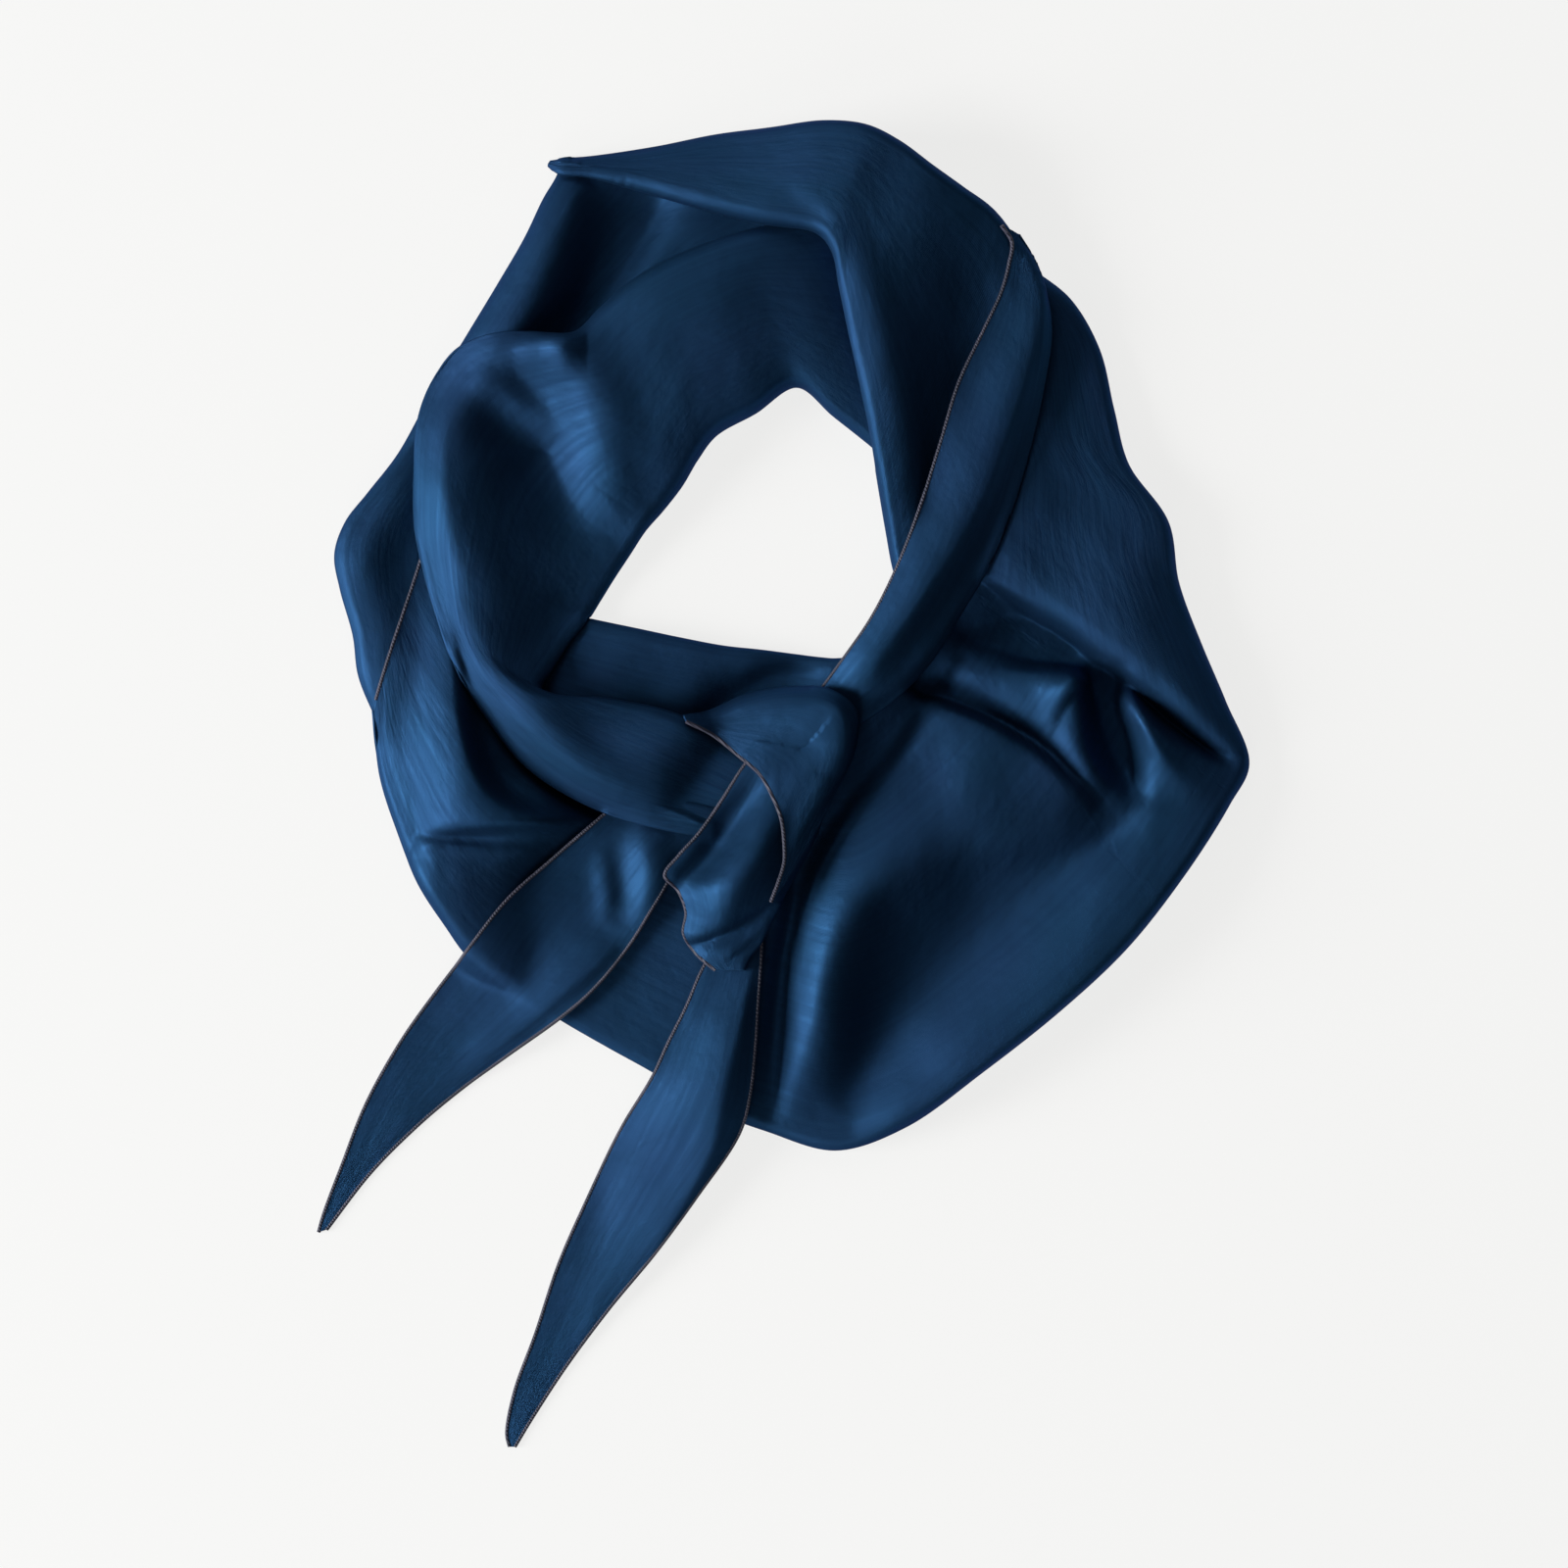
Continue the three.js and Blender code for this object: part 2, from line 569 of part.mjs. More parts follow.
// A fold's path as short straight pieces.
function foldPath({ path }) {
  const count = path.length * FOLD_STEPS;
  return Array.from({ length: count + 1 }, (_, k) => smoothCurve(path, k / count));
}

// The height that one fold adds at a place.
function foldHeight({ power, path }, x, y) {
  let nearest = Infinity;
  let height = 0;
  for (let k = 0; k + 1 < path.length; k += 1) {
    const [ax, ay, ...here] = path[k];
    const [bx, by, ...next] = path[k + 1];
    const length = Math.hypot(bx - ax, by - ay);
    const [dx, dy] = [(bx - ax) / length, (by - ay) / length];
    const reach = THREE.MathUtils.clamp((x - ax) * dx + (y - ay) * dy, 0, length);
    const distance = Math.hypot(x - ax - reach * dx, y - ay - reach * dy);
    if (distance < nearest) {
      nearest = distance;
      const share = reach / length;
      const [rise, left, right] = here.map((value, n) => THREE.MathUtils.lerp(value, next[n], share));
      const width = dx * (y - ay) - dy * (x - ax) > 0 ? left : right;
      height = rise * Math.exp(-((distance / Math.max(width, LEAST_REACH)) ** power));
    }
  }
  return height;
}

// One section's points from the inner edge's tuck to the outer edge's.
function sectionPoints(piece, rails, t, ground) {
  const [ax, ay, az] = smoothCurve(rails.inner, t);
  const [bx, by, bz] = smoothCurve(rails.outer, t);
  const crown = smoothCurve(rails.crown, t)[2];
  const width = Math.hypot(bx - ax, by - ay);
  const roll = Math.min(ROLL, width * ROLL_SHARE);
  const tuck = Math.min(TUCK, width * TUCK_SHARE);
  const folded = piece.inner === 'fold' || piece.outer === 'fold';

  const place = (d) => ({
    x: THREE.MathUtils.lerp(ax, bx, d / width),
    y: THREE.MathUtils.lerp(ay, by, d / width),
  });
  const topAt = (d) => {
    const { x, y } = place(d);
    const s = d / width;
    const bulge = 1 - Math.abs(2 * s - 1) ** CROWN_POWER;
    const own = THREE.MathUtils.lerp(az, bz, s) + bulge * (crown - (az + bz) / 2);
    const added = rails.folds.reduce((sum, fold) => sum + foldHeight(fold, x, y), 0);
    const lowest = ground.at(ground.drape, x, y) + (folded ? LIP_ROOM : 0);
    return { x, y, z: softMax(own + added, lowest) };
  };
  const lip = (fromOuter) => {
    const at = (d) => (fromOuter ? width - d : d);
    const top = topAt(at(roll));
    const under = place(at(roll));
    const bottom = Math.max(ground.at(ground.clear, under.x, under.y), top.z - ROLL_DEPTH);
    const middle = (top.z + bottom) / 2;
    const half = (top.z - bottom) / 2;
    const arc = ROLL_ANGLES.map((degrees) => {
      const angle = THREE.MathUtils.degToRad(degrees);
      const point = place(at(roll * (1 - Math.cos(angle))));
      return { ...point, z: middle + half * Math.sin(angle), rolled: true };
    });
    const end = place(at(roll + tuck));
    const tucked = Math.max(ground.at(ground.clear, end.x, end.y), bottom);
    const level = { level: true, rolled: true };
    return [{ ...end, z: tucked, ...level }, { ...under, z: bottom, ...level }, ...arc];
  };

  const first = piece.inner === 'fold' ? roll : 0;
  const last = piece.outer === 'fold' ? width - roll : width;
  const points = piece.inner === 'fold' ? lip(false) : [];
  for (let k = 0; k <= piece.across; k += 1) {
    points.push(topAt(THREE.MathUtils.lerp(first, last, k / piece.across)));
  }
  return piece.outer === 'fold' ? points.concat(lip(true).reverse()) : points;
}

// Lets the surface down onto what lies below, then lifts it where a facet still cuts in.
function settle(grid, ground) {
  const lifts = grid.flat();
  let slack = Infinity;
  for (const corners of facets(grid, (i, j) => grid[i][j])) {
    ground.visit(corners, (cell, x, y, z) => {
      slack = Math.min(slack, z - ground.clear[cell]);
    });
  }
  for (const point of lifts) {
    point.z -= Math.max(0, slack);
  }
  for (let pass = 0; pass < SETTLE_PASSES; pass += 1) {
    let worst = 0;
    for (const corners of facets(grid, (i, j) => grid[i][j])) {
      ground.visit(corners, (cell, x, y, z, weights) => {
        const lack = ground.clear[cell] - z;
        if (lack > CLOSE) {
          const share = weights.reduce((sum, weight) => sum + weight * weight, 0);
          corners.forEach((corner, k) => {
            corner.z += (lack * weights[k]) / share;
          });
          worst = Math.max(worst, lack);
        }
      });
    }
    for (const point of lifts) {
      point.z = Math.max(point.z, ground.at(ground.clear, point.x, point.y));
    }
    if (worst < 2 * CLOSE) {
      break;
    }
  }
}

// Two triangles for each cell of a grid, in one turning sense.
function facets(grid, corner) {
  const list = [];
  for (let i = 0; i + 1 < grid.length; i += 1) {
    for (let j = 0; j + 1 < grid[0].length; j += 1) {
      const [a, b, c, d] = [corner(i, j), corner(i + 1, j), corner(i + 1, j + 1), corner(i, j + 1)];
      list.push([a, b, c], [a, c, d]);
    }
  }
  return list;
}

// Normals of the grid's points, upwards on the top of the cloth.
function gridNormals(grid) {
  const at = (i, j) => {
    const row = grid[THREE.MathUtils.clamp(i, 0, grid.length - 1)];
    return row[THREE.MathUtils.clamp(j, 0, row.length - 1)];
  };
  const between = (p, q) => new THREE.Vector3(q.x - p.x, q.y - p.y, q.z - p.z);
  return grid.map((row, i) => row.map((point, j) => {
    if (point.level) {
      return new THREE.Vector3(0, 0, -1);
    }
    const along = between(at(i - 1, j), at(i + 1, j));
    const across = between(at(i, j - 1), at(i, j + 1));
    return across.cross(along).normalize();
  }));
}

// Gives a grid of points a wall and closes it all round.
function shell(grid) {
  const rows = grid.length;
  const columns = grid[0].length;
  const normals = gridNormals(grid);
  const points = [];
  for (const side of [1, -1]) {
    grid.forEach((row, i) => row.forEach((point, j) => {
      const offset = normals[i][j].clone().multiplyScalar((side * WALL) / 2);
      points.push(new THREE.Vector3(point.x, point.y, point.z).add(offset));
    }));
  }
  const upper = (i, j) => i * columns + j;
  const lower = (i, j) => rows * columns + i * columns + j;
  const faces = [];
  for (const [a, b, c] of facets(grid, upper)) {
    faces.push([a, c, b]);
  }
  for (const [a, b, c] of facets(grid, lower)) {
    faces.push([a, b, c]);
  }
  const wall = (p, q) => {
    const [a, b, c, d] = [upper(...p), upper(...q), lower(...q), lower(...p)];
    faces.push([a, b, c], [a, c, d]);
  };
  for (let i = 0; i + 1 < rows; i += 1) {
    wall([i, 0], [i + 1, 0]);
    wall([i + 1, columns - 1], [i, columns - 1]);
  }
  for (let j = 0; j + 1 < columns; j += 1) {
    wall([0, j + 1], [0, j]);
    wall([rows - 1, j], [rows - 1, j + 1]);
  }
  return { points, faces };
}

// Whether the tables' order of sections turns the cloth's upper side down.
function facesDown(rows) {
  const [near, far] = [rows[1], rows[2]];
  const across = new THREE.Vector2(near.ox - near.ix, near.oy - near.iy);
  const along = new THREE.Vector2(far.ix + far.ox - near.ix - near.ox, far.iy + far.oy - near.iy - near.oy);
  return across.cross(along) < 0;
}

// The grid of one piece's middle surface, laid on the ground.
function surface(piece, ground) {
  const { steps, sections, folds } = piece;
  const rails = {
    inner: sections.map(({ ix, iy, iz }) => [ix, iy, iz]),
    outer: sections.map(({ ox, oy, oz }) => [ox, oy, oz]),
    crown: sections.map(({ ix, iy, crown }) => [ix, iy, crown]),
    folds: folds.map((fold) => ({ power: fold.power, path: foldPath(fold) })),
  };
  const grid = [];
  for (let k = 0; k <= steps; k += 1) {
    grid.push(sectionPoints(piece, rails, k / steps, ground));
  }
  if (facesDown(sections)) {
    grid.reverse();
  }
  settle(grid, ground);
  return grid;
}

// One border of a grid, and the row of points next to it. The start leaves out the rolled edges.
function border(grid, side) {
  const column = (j) => grid.map((row) => row[j]);
  const last = grid[0].length - 1;
  const seen = grid[0].map((point, j) => j).filter((j) => !grid[0][j].rolled);
  const borders = {
    inner: [column(0), column(1)],
    outer: [column(last), column(last - 1)],
    start: [seen.map((j) => grid[0][j]), seen.map((j) => grid[1][j])],
  };
  return borders[side];
}

// The middle line of a hem that lies along one border of a grid.
function hemLine(grid, side, ground) {
  const [edge, beside] = border(grid, side);
  const reach = GAP + HEM_RADIUS;
  const line = edge.map((point, k) => {
    const before = edge[Math.max(0, k - 1)];
    const after = edge[Math.min(edge.length - 1, k + 1)];
    const outward = new THREE.Vector3(after.y - before.y, before.x - after.x, 0).normalize();
    const inward = new THREE.Vector3(beside[k].x - point.x, beside[k].y - point.y, 0);
    outward.multiplyScalar(outward.dot(inward) > 0 ? -reach : reach);
    return new THREE.Vector3(point.x, point.y, point.z).add(outward);
  });
  const lowest = (point) => ground.at(ground.clear, point.x, point.y) + HEM_RADIUS - WALL / 2;
  for (let k = 0; k < line.length; k += 1) {
    line[k].z = Math.max(line[k].z, lowest(line[k]));
  }
  for (let k = 0; k + 1 < line.length; k += 1) {
    for (const share of HEM_CHECKS) {
      const point = line[k].clone().lerp(line[k + 1], share);
      const lack = Math.max(0, lowest(point) - point.z);
      line[k].z += lack;
      line[k + 1].z += lack;
    }
  }
  return line;
}

// A closed tube through a line of points.
function tube(line, radius, sides) {
  const points = [];
  line.forEach((point, k) => {
    const before = line[Math.max(0, k - 1)];
    const after = line[Math.min(line.length - 1, k + 1)];
    const forward = after.clone().sub(before).normalize();
    const aside = new THREE.Vector3(0, 0, 1).cross(forward).normalize();
    const up = forward.clone().cross(aside);
    for (let s = 0; s < sides; s += 1) {
      const angle = (2 * Math.PI * (s + 0.5)) / sides;
      const spoke = aside.clone().multiplyScalar(Math.cos(angle) * radius);
      points.push(point.clone().add(spoke).addScaledVector(up, Math.sin(angle) * radius));
    }
  });
  const faces = [];
  const ring = (k, s) => k * sides + (s % sides);
  for (let k = 0; k + 1 < line.length; k += 1) {
    for (let s = 0; s < sides; s += 1) {
      faces.push([ring(k, s), ring(k, s + 1), ring(k + 1, s + 1)]);
      faces.push([ring(k, s), ring(k + 1, s + 1), ring(k + 1, s)]);
    }
  }
  for (let s = 1; s + 1 < sides; s += 1) {
    faces.push([ring(0, 0), ring(0, s + 1), ring(0, s)]);
    faces.push([ring(line.length - 1, 0), ring(line.length - 1, s), ring(line.length - 1, s + 1)]);
  }
  return { points, faces };
}

function material(color) {
  return new THREE.MeshStandardMaterial({ color, roughness: ROUGHNESS, metalness: 0 });
}

function mesh(name, { points, faces }, color) {
  const places = points.flatMap((p) => [p.x, p.y, p.z]);
  const geometry = new THREE.BufferGeometry();
  geometry.setAttribute('position', new THREE.Float32BufferAttribute(places, 3));
  geometry.setIndex(faces.flat());
  geometry.computeVertexNormals();
  const piece = new THREE.Mesh(geometry, material(color));
  piece.name = name;
  return piece;
}

const scarf = new THREE.Group();
scarf.name = 'neck_scarf';
const ground = new Ground();

for (const piece of [
  OUTER_BAND, FRONT_PANEL, LEFT_TAIL, LEFT_BAND, BACK_BAND, RIGHT_BAND, RIGHT_TAIL, KNOT_CORE, KNOT_WRAP,
]) {
  ground.prepare();
  const grid = surface(piece, ground);
  const solids = { [piece.name]: shell(grid) };
  for (const [name, side] of Object.entries(piece.hems ?? {})) {
    solids[name] = tube(hemLine(grid, side, ground), HEM_RADIUS, HEM_SIDES);
  }
  for (const [name, solid] of Object.entries(solids)) {
    ground.add(solid.points, solid.faces);
    scarf.add(mesh(name, solid, name === piece.name ? NAVY : HEM_GREY));
  }
}

scarf.position.set(-MIDDLE_X, -MIDDLE_Y, 0);

export default scarf;
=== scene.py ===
# A navy silk satin neck scarf: a square folded on its diagonal to a band, closed with a knot over
# its wide front panel and laid flat on a pale table. Tables are in millimetres, as the cloth lies
# seen from above; what is built from them is in metres, in the model's frame.

import math

import bpy
import numpy as np
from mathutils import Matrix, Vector


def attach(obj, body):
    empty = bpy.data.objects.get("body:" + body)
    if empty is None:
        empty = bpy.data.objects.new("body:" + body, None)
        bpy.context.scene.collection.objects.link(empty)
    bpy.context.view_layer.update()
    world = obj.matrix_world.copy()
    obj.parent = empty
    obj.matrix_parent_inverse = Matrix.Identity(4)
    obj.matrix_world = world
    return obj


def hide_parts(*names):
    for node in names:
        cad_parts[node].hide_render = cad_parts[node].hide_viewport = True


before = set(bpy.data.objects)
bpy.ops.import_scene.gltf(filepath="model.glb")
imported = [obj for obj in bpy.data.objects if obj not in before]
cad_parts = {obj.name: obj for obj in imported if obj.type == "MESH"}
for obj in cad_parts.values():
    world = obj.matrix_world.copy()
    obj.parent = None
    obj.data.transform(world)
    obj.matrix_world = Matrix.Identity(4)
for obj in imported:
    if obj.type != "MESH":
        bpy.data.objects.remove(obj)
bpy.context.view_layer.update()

MM = 0.001

# Middle of the drawn outline, in the tables' millimetres: the model's origin lies under it
MIDDLE = np.array([-1.94, -3.19])

# Cloth, in millimetres. A share is of the sheet's width at that place, where the sheet is too narrow
# for the full measure
WALL = 0.9
GAP = 0.35  # between a sheet and what it lies on
ROLL = 4.5  # from a folded edge's outermost line in to where it stops curling
ROLL_SHARE = 0.28
ROLL_DEPTH = 20.0  # the furthest that a folded edge reaches down
TUCK = 12.0  # from there on, what lies tucked in below
TUCK_SHARE = 0.2
LIP_ROOM = 1.5  # for what is tucked in, between a sheet's top side and what it lies on
EDGE_BLEND = 2.5  # softness of the change from a sheet's own height to that of the drape
CROWN_POWER = 2.4  # the higher, the flatter the top of a sheet's arch
HEM_RADIUS = 0.75
RIPPLE = 0.175

# Angles round a folded edge, from its outermost line up to the sheet's face
ARC = np.radians([7, 20, 33, 46, 58, 69, 80])

# Lattice of the heights that the next sheet lies on, in millimetres, and the drape over them
CELL = 1.0
HALF = np.array([200.0, 276.0])
INSIDE = 1.001  # cells that a place keeps from the far rim, so that it has a next cell
STEEPEST = 1.3  # slope of the drape, down from what stands up
DRAPE_CELLS = 40  # how far out from there it reaches
DRAPE_SMOOTHING = 3

# Curves and folds
SHORTEST_STEP = 0.1
PATH_STEPS = 20  # for each point of a fold's path
FADED = 3.2  # times a fold's reach, past which nothing of it is left
SHORTEST_REACH = 0.5
TINY_LENGTH = 1e-6
TINY_AREA = 1e-9


def table(columns, rows):
    """A table's rows, each turned into a dictionary with the named columns."""
    names = columns.split()
    return [dict(zip(names, row)) for row in rows]


# Unevenness of handled cloth: waves along x, along y and along their sum, each swayed by a longer one.
# Lengths are millimetres to the radian, and the turns set the waves of one sheet apart from the next
WAVES = table("length turn sway sway_length sway_turn", [
    (6.1, 1, 1.7, 17, 1),
    (7.3, 2, 1.5, 15, -1),
    (9.7, 0, 1.3, 21, 3),
])

# Navy dye, the streaks that multiply it, and the hems' thread, each from its darker to its lighter end
DYE = (0.0105, 0.043, 0.100), (0.0150, 0.046, 0.118)
STREAKS = (0.9, 0.9, 0.92), (1.1, 1.1, 1.08)
THREAD = (0.022, 0.026, 0.047), (0.052, 0.050, 0.080)
NOISE_RANGE = (0.3, 0.7)  # where nearly all values of a noise texture lie

# Area lights that face the scarf: degrees, metres and watts. The first comes low from the left
LIGHTS = table("name azimuth elevation distance size power", [
    ("key", 186, 21, 4, 1.8, 270),
    ("low", 245, 28, 4, 2.2, 50),
    ("high", 100, 32, 4, 2.2, 28),
])

# Each sheet has so many rows of points from its start to its end and so many columns across its top
# side. "inner" and "outer" say whether that edge is folded under or free, and "hems" which edge each
# hem runs along. A section is the inner edge (ix iy iz), the outer edge (ox oy oz) and the height
# halfway (crown). A fold rises along its path and fades to both sides by its power. The columns of a
# path are x y rise left right, the last two being its reach to each side.
SECTION = "ix iy iz ox oy oz crown"
FOLD = "power path"

OUTER_BAND = dict(
    name="neck_band_outer", rows=220, columns=60, inner="free", outer="fold",
    hems={},
    sections=table(SECTION, [
        (-121, 3, 4, -148, 10, 6, 7),
        (-122, 22, 4, -157, 28, 8, 10),
        (-121, 40, 4, -162, 41, 9, 10),
        (-118, 59, 4, -164, 56, 9, 7),
        (-116, 78, 4, -169, 74, 9, 5),
        (-112, 94, 4, -171, 87, 9, 5),
        (-109, 106, 4, -167, 99, 9, 5),
        (-104, 119, 4, -158.5, 110, 9, 7),
        (-94, 133, 3, -147, 125, 9, 8),
        (-83, 146, 3, -134, 148.5, 8, 9),
        (-70, 160, 3, -121.5, 168.5, 8, 9),
        (-54, 174, 5, -109, 189, 7, 9),
        (-36, 188, 7, -98.5, 207, 7, 9),
        (-18, 199, 10, -91.5, 222, 7, 9),
        (0, 208, 12, -87, 230, 7, 9),
        (12, 213, 14, -85, 235, 7, 9),
    ]),
    folds=table(FOLD, [
        (2, [(-126, 138, 0, 10, 6), (-114, 152, 5, 14, 9), (-103, 170, 9, 16, 11), (-92, 190, 10, 17, 12),
             (-85, 208, 9, 15, 11), (-81, 223, 5, 11, 8), (-80, 232, 0, 6, 5)]),
        (2, [(-92, 152, 0, 8, 8), (-85, 166, -5, 14, 8), (-74, 182, -8, 16, 8), (-62, 199, -9.5, 17, 7),
             (-53, 214, -8, 16, 7), (-47, 225, -4, 12, 7), (-44, 231, 0, 8, 6)]),
        (2, [(-149, 32, 0, 8, 10), (-152.5, 52, 2.5, 9, 11), (-156, 72, 4, 10, 11), (-158, 86, 5, 10, 11),
             (-154, 97, 4.5, 10, 11), (-145, 110, 3, 9, 11), (-137, 124, 0, 6, 8)]),
    ]),
)

FRONT_PANEL = dict(
    name="front_panel", rows=340, columns=110, inner="fold", outer="fold",
    hems={"hem_front_panel": "start"},
    sections=table(SECTION, [
        (-133, 101, 2, -156, 27, 8, 8),
        (-118, 89, 2, -154, 3, 7, 9),
        (-101, 75, 2, -147, -19, 9, 10),
        (-86, 65, 2, -139.5, -37.5, 10, 10),
        (-73, 62, 5, -129, -54, 8, 9),
        (-56, 58.4, 8, -119.5, -67, 6, 9),
        (-39, 54.8, 9, -104, -78, 4, 7),
        (-23, 51.8, 9, -86, -90, 4, 7),
        (-9, 50.3, 9, -67, -101, 4, 8),
        (3, 48.8, 8, -49, -111, 5, 8),
        (14, 47.4, 8, -29, -124, 6, 9),
        (20, 47, 8, -6, -133, 7, 11),
        (26, 48, 8, 20, -140, 8, 12),
        (30, 52, 8, 46, -131, 11, 12),
        (35, 58, 8, 75, -110, 13, 12),
        (40, 64, 7, 104.5, -86.5, 14, 12),
        (44, 71, 6, 130.5, -62, 14, 12),
        (49, 78, 5, 153, -33.5, 13, 12),
        (52, 86, 5, 169.5, -8, 11, 13),
        (56, 93, 5, 177, 7, 8, 14),
        (60, 101, 6, 168, 30.5, 8, 15),
        (63, 110, 6, 158.5, 53, 8, 15),
        (66, 119, 6, 150, 76, 8, 15),
        (69, 131, 6, 146, 99, 8, 14),
        (72, 142, 6, 131, 121, 8, 12),
        (75, 155, 6, 125.5, 142, 8, 10),
        (78, 168, 6, 120, 165, 8, 9),
        (80, 180, 6, 109, 184, 8, 9),
        (77, 191, 6, 94, 196, 7, 8),
    ]),
    folds=table(FOLD, [
        (2, [(-129, 78, 0, 5, 14), (-127, 58, 6, 5, 14), (-125, 38, 10, 5, 18), (-122, 17, 12, 5, 20),
             (-115, -1, 12.5, 5, 21), (-103, -12, 9.5, 6, 18), (-89, -16, 5.5, 5, 13),
             (-76, -18, 0, 5, 8)]),
        (1.8, [(-139, -19, 0, 8, 3), (-131, -17.5, 4, 9, 3), (-120, -16, 6, 9, 3), (-105, -15, 7, 8, 3),
               (-90, -14.5, 6, 7, 3), (-75, -14, 2, 5, 3), (-66, -14, 0, 4, 3)]),
        (2, [(-136, -28, 0, 10, 8), (-131, -41, 6, 22, 8), (-122, -55, 7, 24, 8), (-110, -68, 5, 20, 8),
             (-98, -78, 0, 8, 6)]),
        (2, [(-141, -22, 0, 3, 10), (-135, -24, 5, 3, 14), (-126, -25, 5, 3, 16), (-114, -26, 4, 3, 16),
             (-101, -26, 2, 3, 14), (-88, -26, 0, 3, 12)]),
        (2, [(-122, -33, 0, 6, 8), (-112, -34, -1, 8, 12), (-101, -34, -2, 10, 16), (-90, -34, -4, 11, 18),
             (-76, -32, -7, 11, 16), (-62, -29, -5, 8, 12), (-50, -25, 0, 6, 8)]),
        (2, [(-118, 59, 0, 5, 4), (-114, 48, -5, 7, 5), (-108, 34, -10, 8, 5), (-101, 18, -12, 9, 5),
             (-89, 4, -12, 10, 5), (-76, -6, -10, 10, 5), (-64, -13, -6, 8, 4), (-54, -18, 0, 6, 4)]),
        (2, [(-38, 11, 0, 5, 5), (-29, 20, -6, 9, 9), (-17, 28, -10, 11, 13), (-4, 35.5, -10, 9, 13),
             (7, 40, -6, 7, 10), (16, 42, -2, 5, 6), (23, 41, 0, 4, 4)]),
        (2, [(67, 54, -2, 8, 8), (57, 40, -7, 7, 9), (40, 15, -7, 6, 9), (22, -8, -7, 6, 9),
             (7, -34, -8, 6, 7), (4, -49, -7, 5, 5), (0, -70, -6, 5, 5), (-3, -98, -5, 5, 5),
             (-5, -124, -2, 5, 5), (-6, -132, 0, 4, 4)]),
        (2, [(36, 37, 3, 3, 14), (48, 33, 5.5, 3, 22), (61, 28, 7, 3, 26), (77, 21, 8, 3, 30),
             (94, 11, 7, 3, 28), (108, -1, 5.5, 3, 18), (119, -9, 0, 3, 10)]),
        (2, [(120, -14, 0, 10, 12), (98, -17, 4, 12, 16), (71, -21, 8, 14, 20), (50, -28, 10, 14, 20),
             (33, -38, 11.5, 13, 16), (22, -54, 10.5, 13, 12), (16, -71, 9.5, 13, 9), (13, -91, 7.5, 13, 8),
             (9, -107, 4, 12, 8), (4, -122, 1, 9, 7), (2, -132, 0, 6, 6)]),
        (2, [(137, -8, 0, 6, 6), (124, -20, -5, 8, 7), (112, -28, -7, 10, 9), (97, -38, -9, 16, 16),
             (81, -49, -10.5, 20, 22), (62, -65, -10.5, 22, 20), (46, -83, -9.5, 19, 16),
             (36, -100, -8, 16, 13), (28, -115, -4, 12, 10), (22, -126, 0, 8, 8)]),
        (2, [(175, 4, 0, 5, 10), (167, -13, 3, 5, 16), (151, -37, 6, 6, 22), (126, -63, 8, 6, 26),
             (100, -86, 8, 6, 26), (70, -110, 7, 6, 22), (43, -126, 4, 6, 14), (26, -131, 0, 6, 10)]),
        (2, [(124, 160, 0, 10, 12), (132, 145, 1, 8, 18), (141, 121, 3, 8, 24), (148, 96, 4, 8, 26),
             (152, 76, 2, 8, 16), (156, 60, 0, 8, 8)]),
        (2, [(56, 61, 0, 8, 8), (67, 59, -7, 9, 9), (83, 56, -12, 9, 8), (98, 52, -13, 8, 7),
             (108, 49, -8, 6, 6), (114, 47, 0, 4, 4)]),
        (1.8, [(69, 79, 0, 3, 9), (80, 72, -5, 2.5, 12), (94, 62, -10, 2.5, 14), (107, 54, -12, 2.5, 14),
               (119, 45, -12, 2.5, 10), (132, 36, -11, 2.5, 6), (146, 24, -9, 2.5, 4),
               (161, 13, -6, 2.5, 3), (173, 6, 0, 3, 3)]),
        (2, [(77, 90, 0, 10, 10), (96, 75, 3.5, 18, 10), (114, 62, 6, 24, 8), (134, 48, 6, 24, 7),
             (152, 33, 5, 18, 6), (168, 17, 2, 8, 4), (174, 11, 0, 6, 3)]),
        (1.8, [(47, 38, 0, 5, 3), (56, 33.5, -7, 7, 3), (74, 27, -8.5, 6, 2.5), (86, 20.5, -6.5, 5, 2.5),
               (98, 12.5, -4, 5, 2.5), (110, 1, -3, 4, 2.5), (121, -8, -2, 4, 3), (128, -11, 0, 3, 3)]),
        (2, [(99, 138, 0, 10, 6), (94, 118, 2.5, 14, 6), (87, 98, 4.5, 16, 6), (79, 82, 5.5, 17, 6),
             (70, 68, 5.5, 16, 6), (60, 55, 4.5, 14, 6), (49, 43, 0, 8, 6)]),
        (1.8, [(66, 41, 0, 3, 8), (78, 41, 1.5, 3, 12), (91, 41, 4.5, 3, 14), (103, 41, 8, 3, 14),
               (111, 39, 9, 3, 6), (116, 36, 0, 3, 4)]),
        (2, [(121, 46, 0, 5, 6), (122, 38, -11, 5, 7), (124, 27, -15, 5, 8), (128, 16, -15, 5, 9),
             (131, 5, -11, 5, 8), (134, -4, -5, 4, 7), (136, -10, 0, 4, 5)]),
        (1.8, [(127, 43, 0, 5, 4), (131, 35, 6, 5, 4), (135, 25, 8, 5, 4), (140, 15, 7, 6, 5),
               (147, 6, 4, 7, 7), (156, 0, 2, 8, 8), (166, -3, 0, 6, 6)]),
        (2, [(113, 43, 0, 4, 6), (111, 36, 5, 4, 9), (111, 27, 5, 4, 10), (112, 16, 5, 4, 10),
             (116, 5, 4, 4, 8), (122, -5, 0, 4, 5)]),
    ]),
)

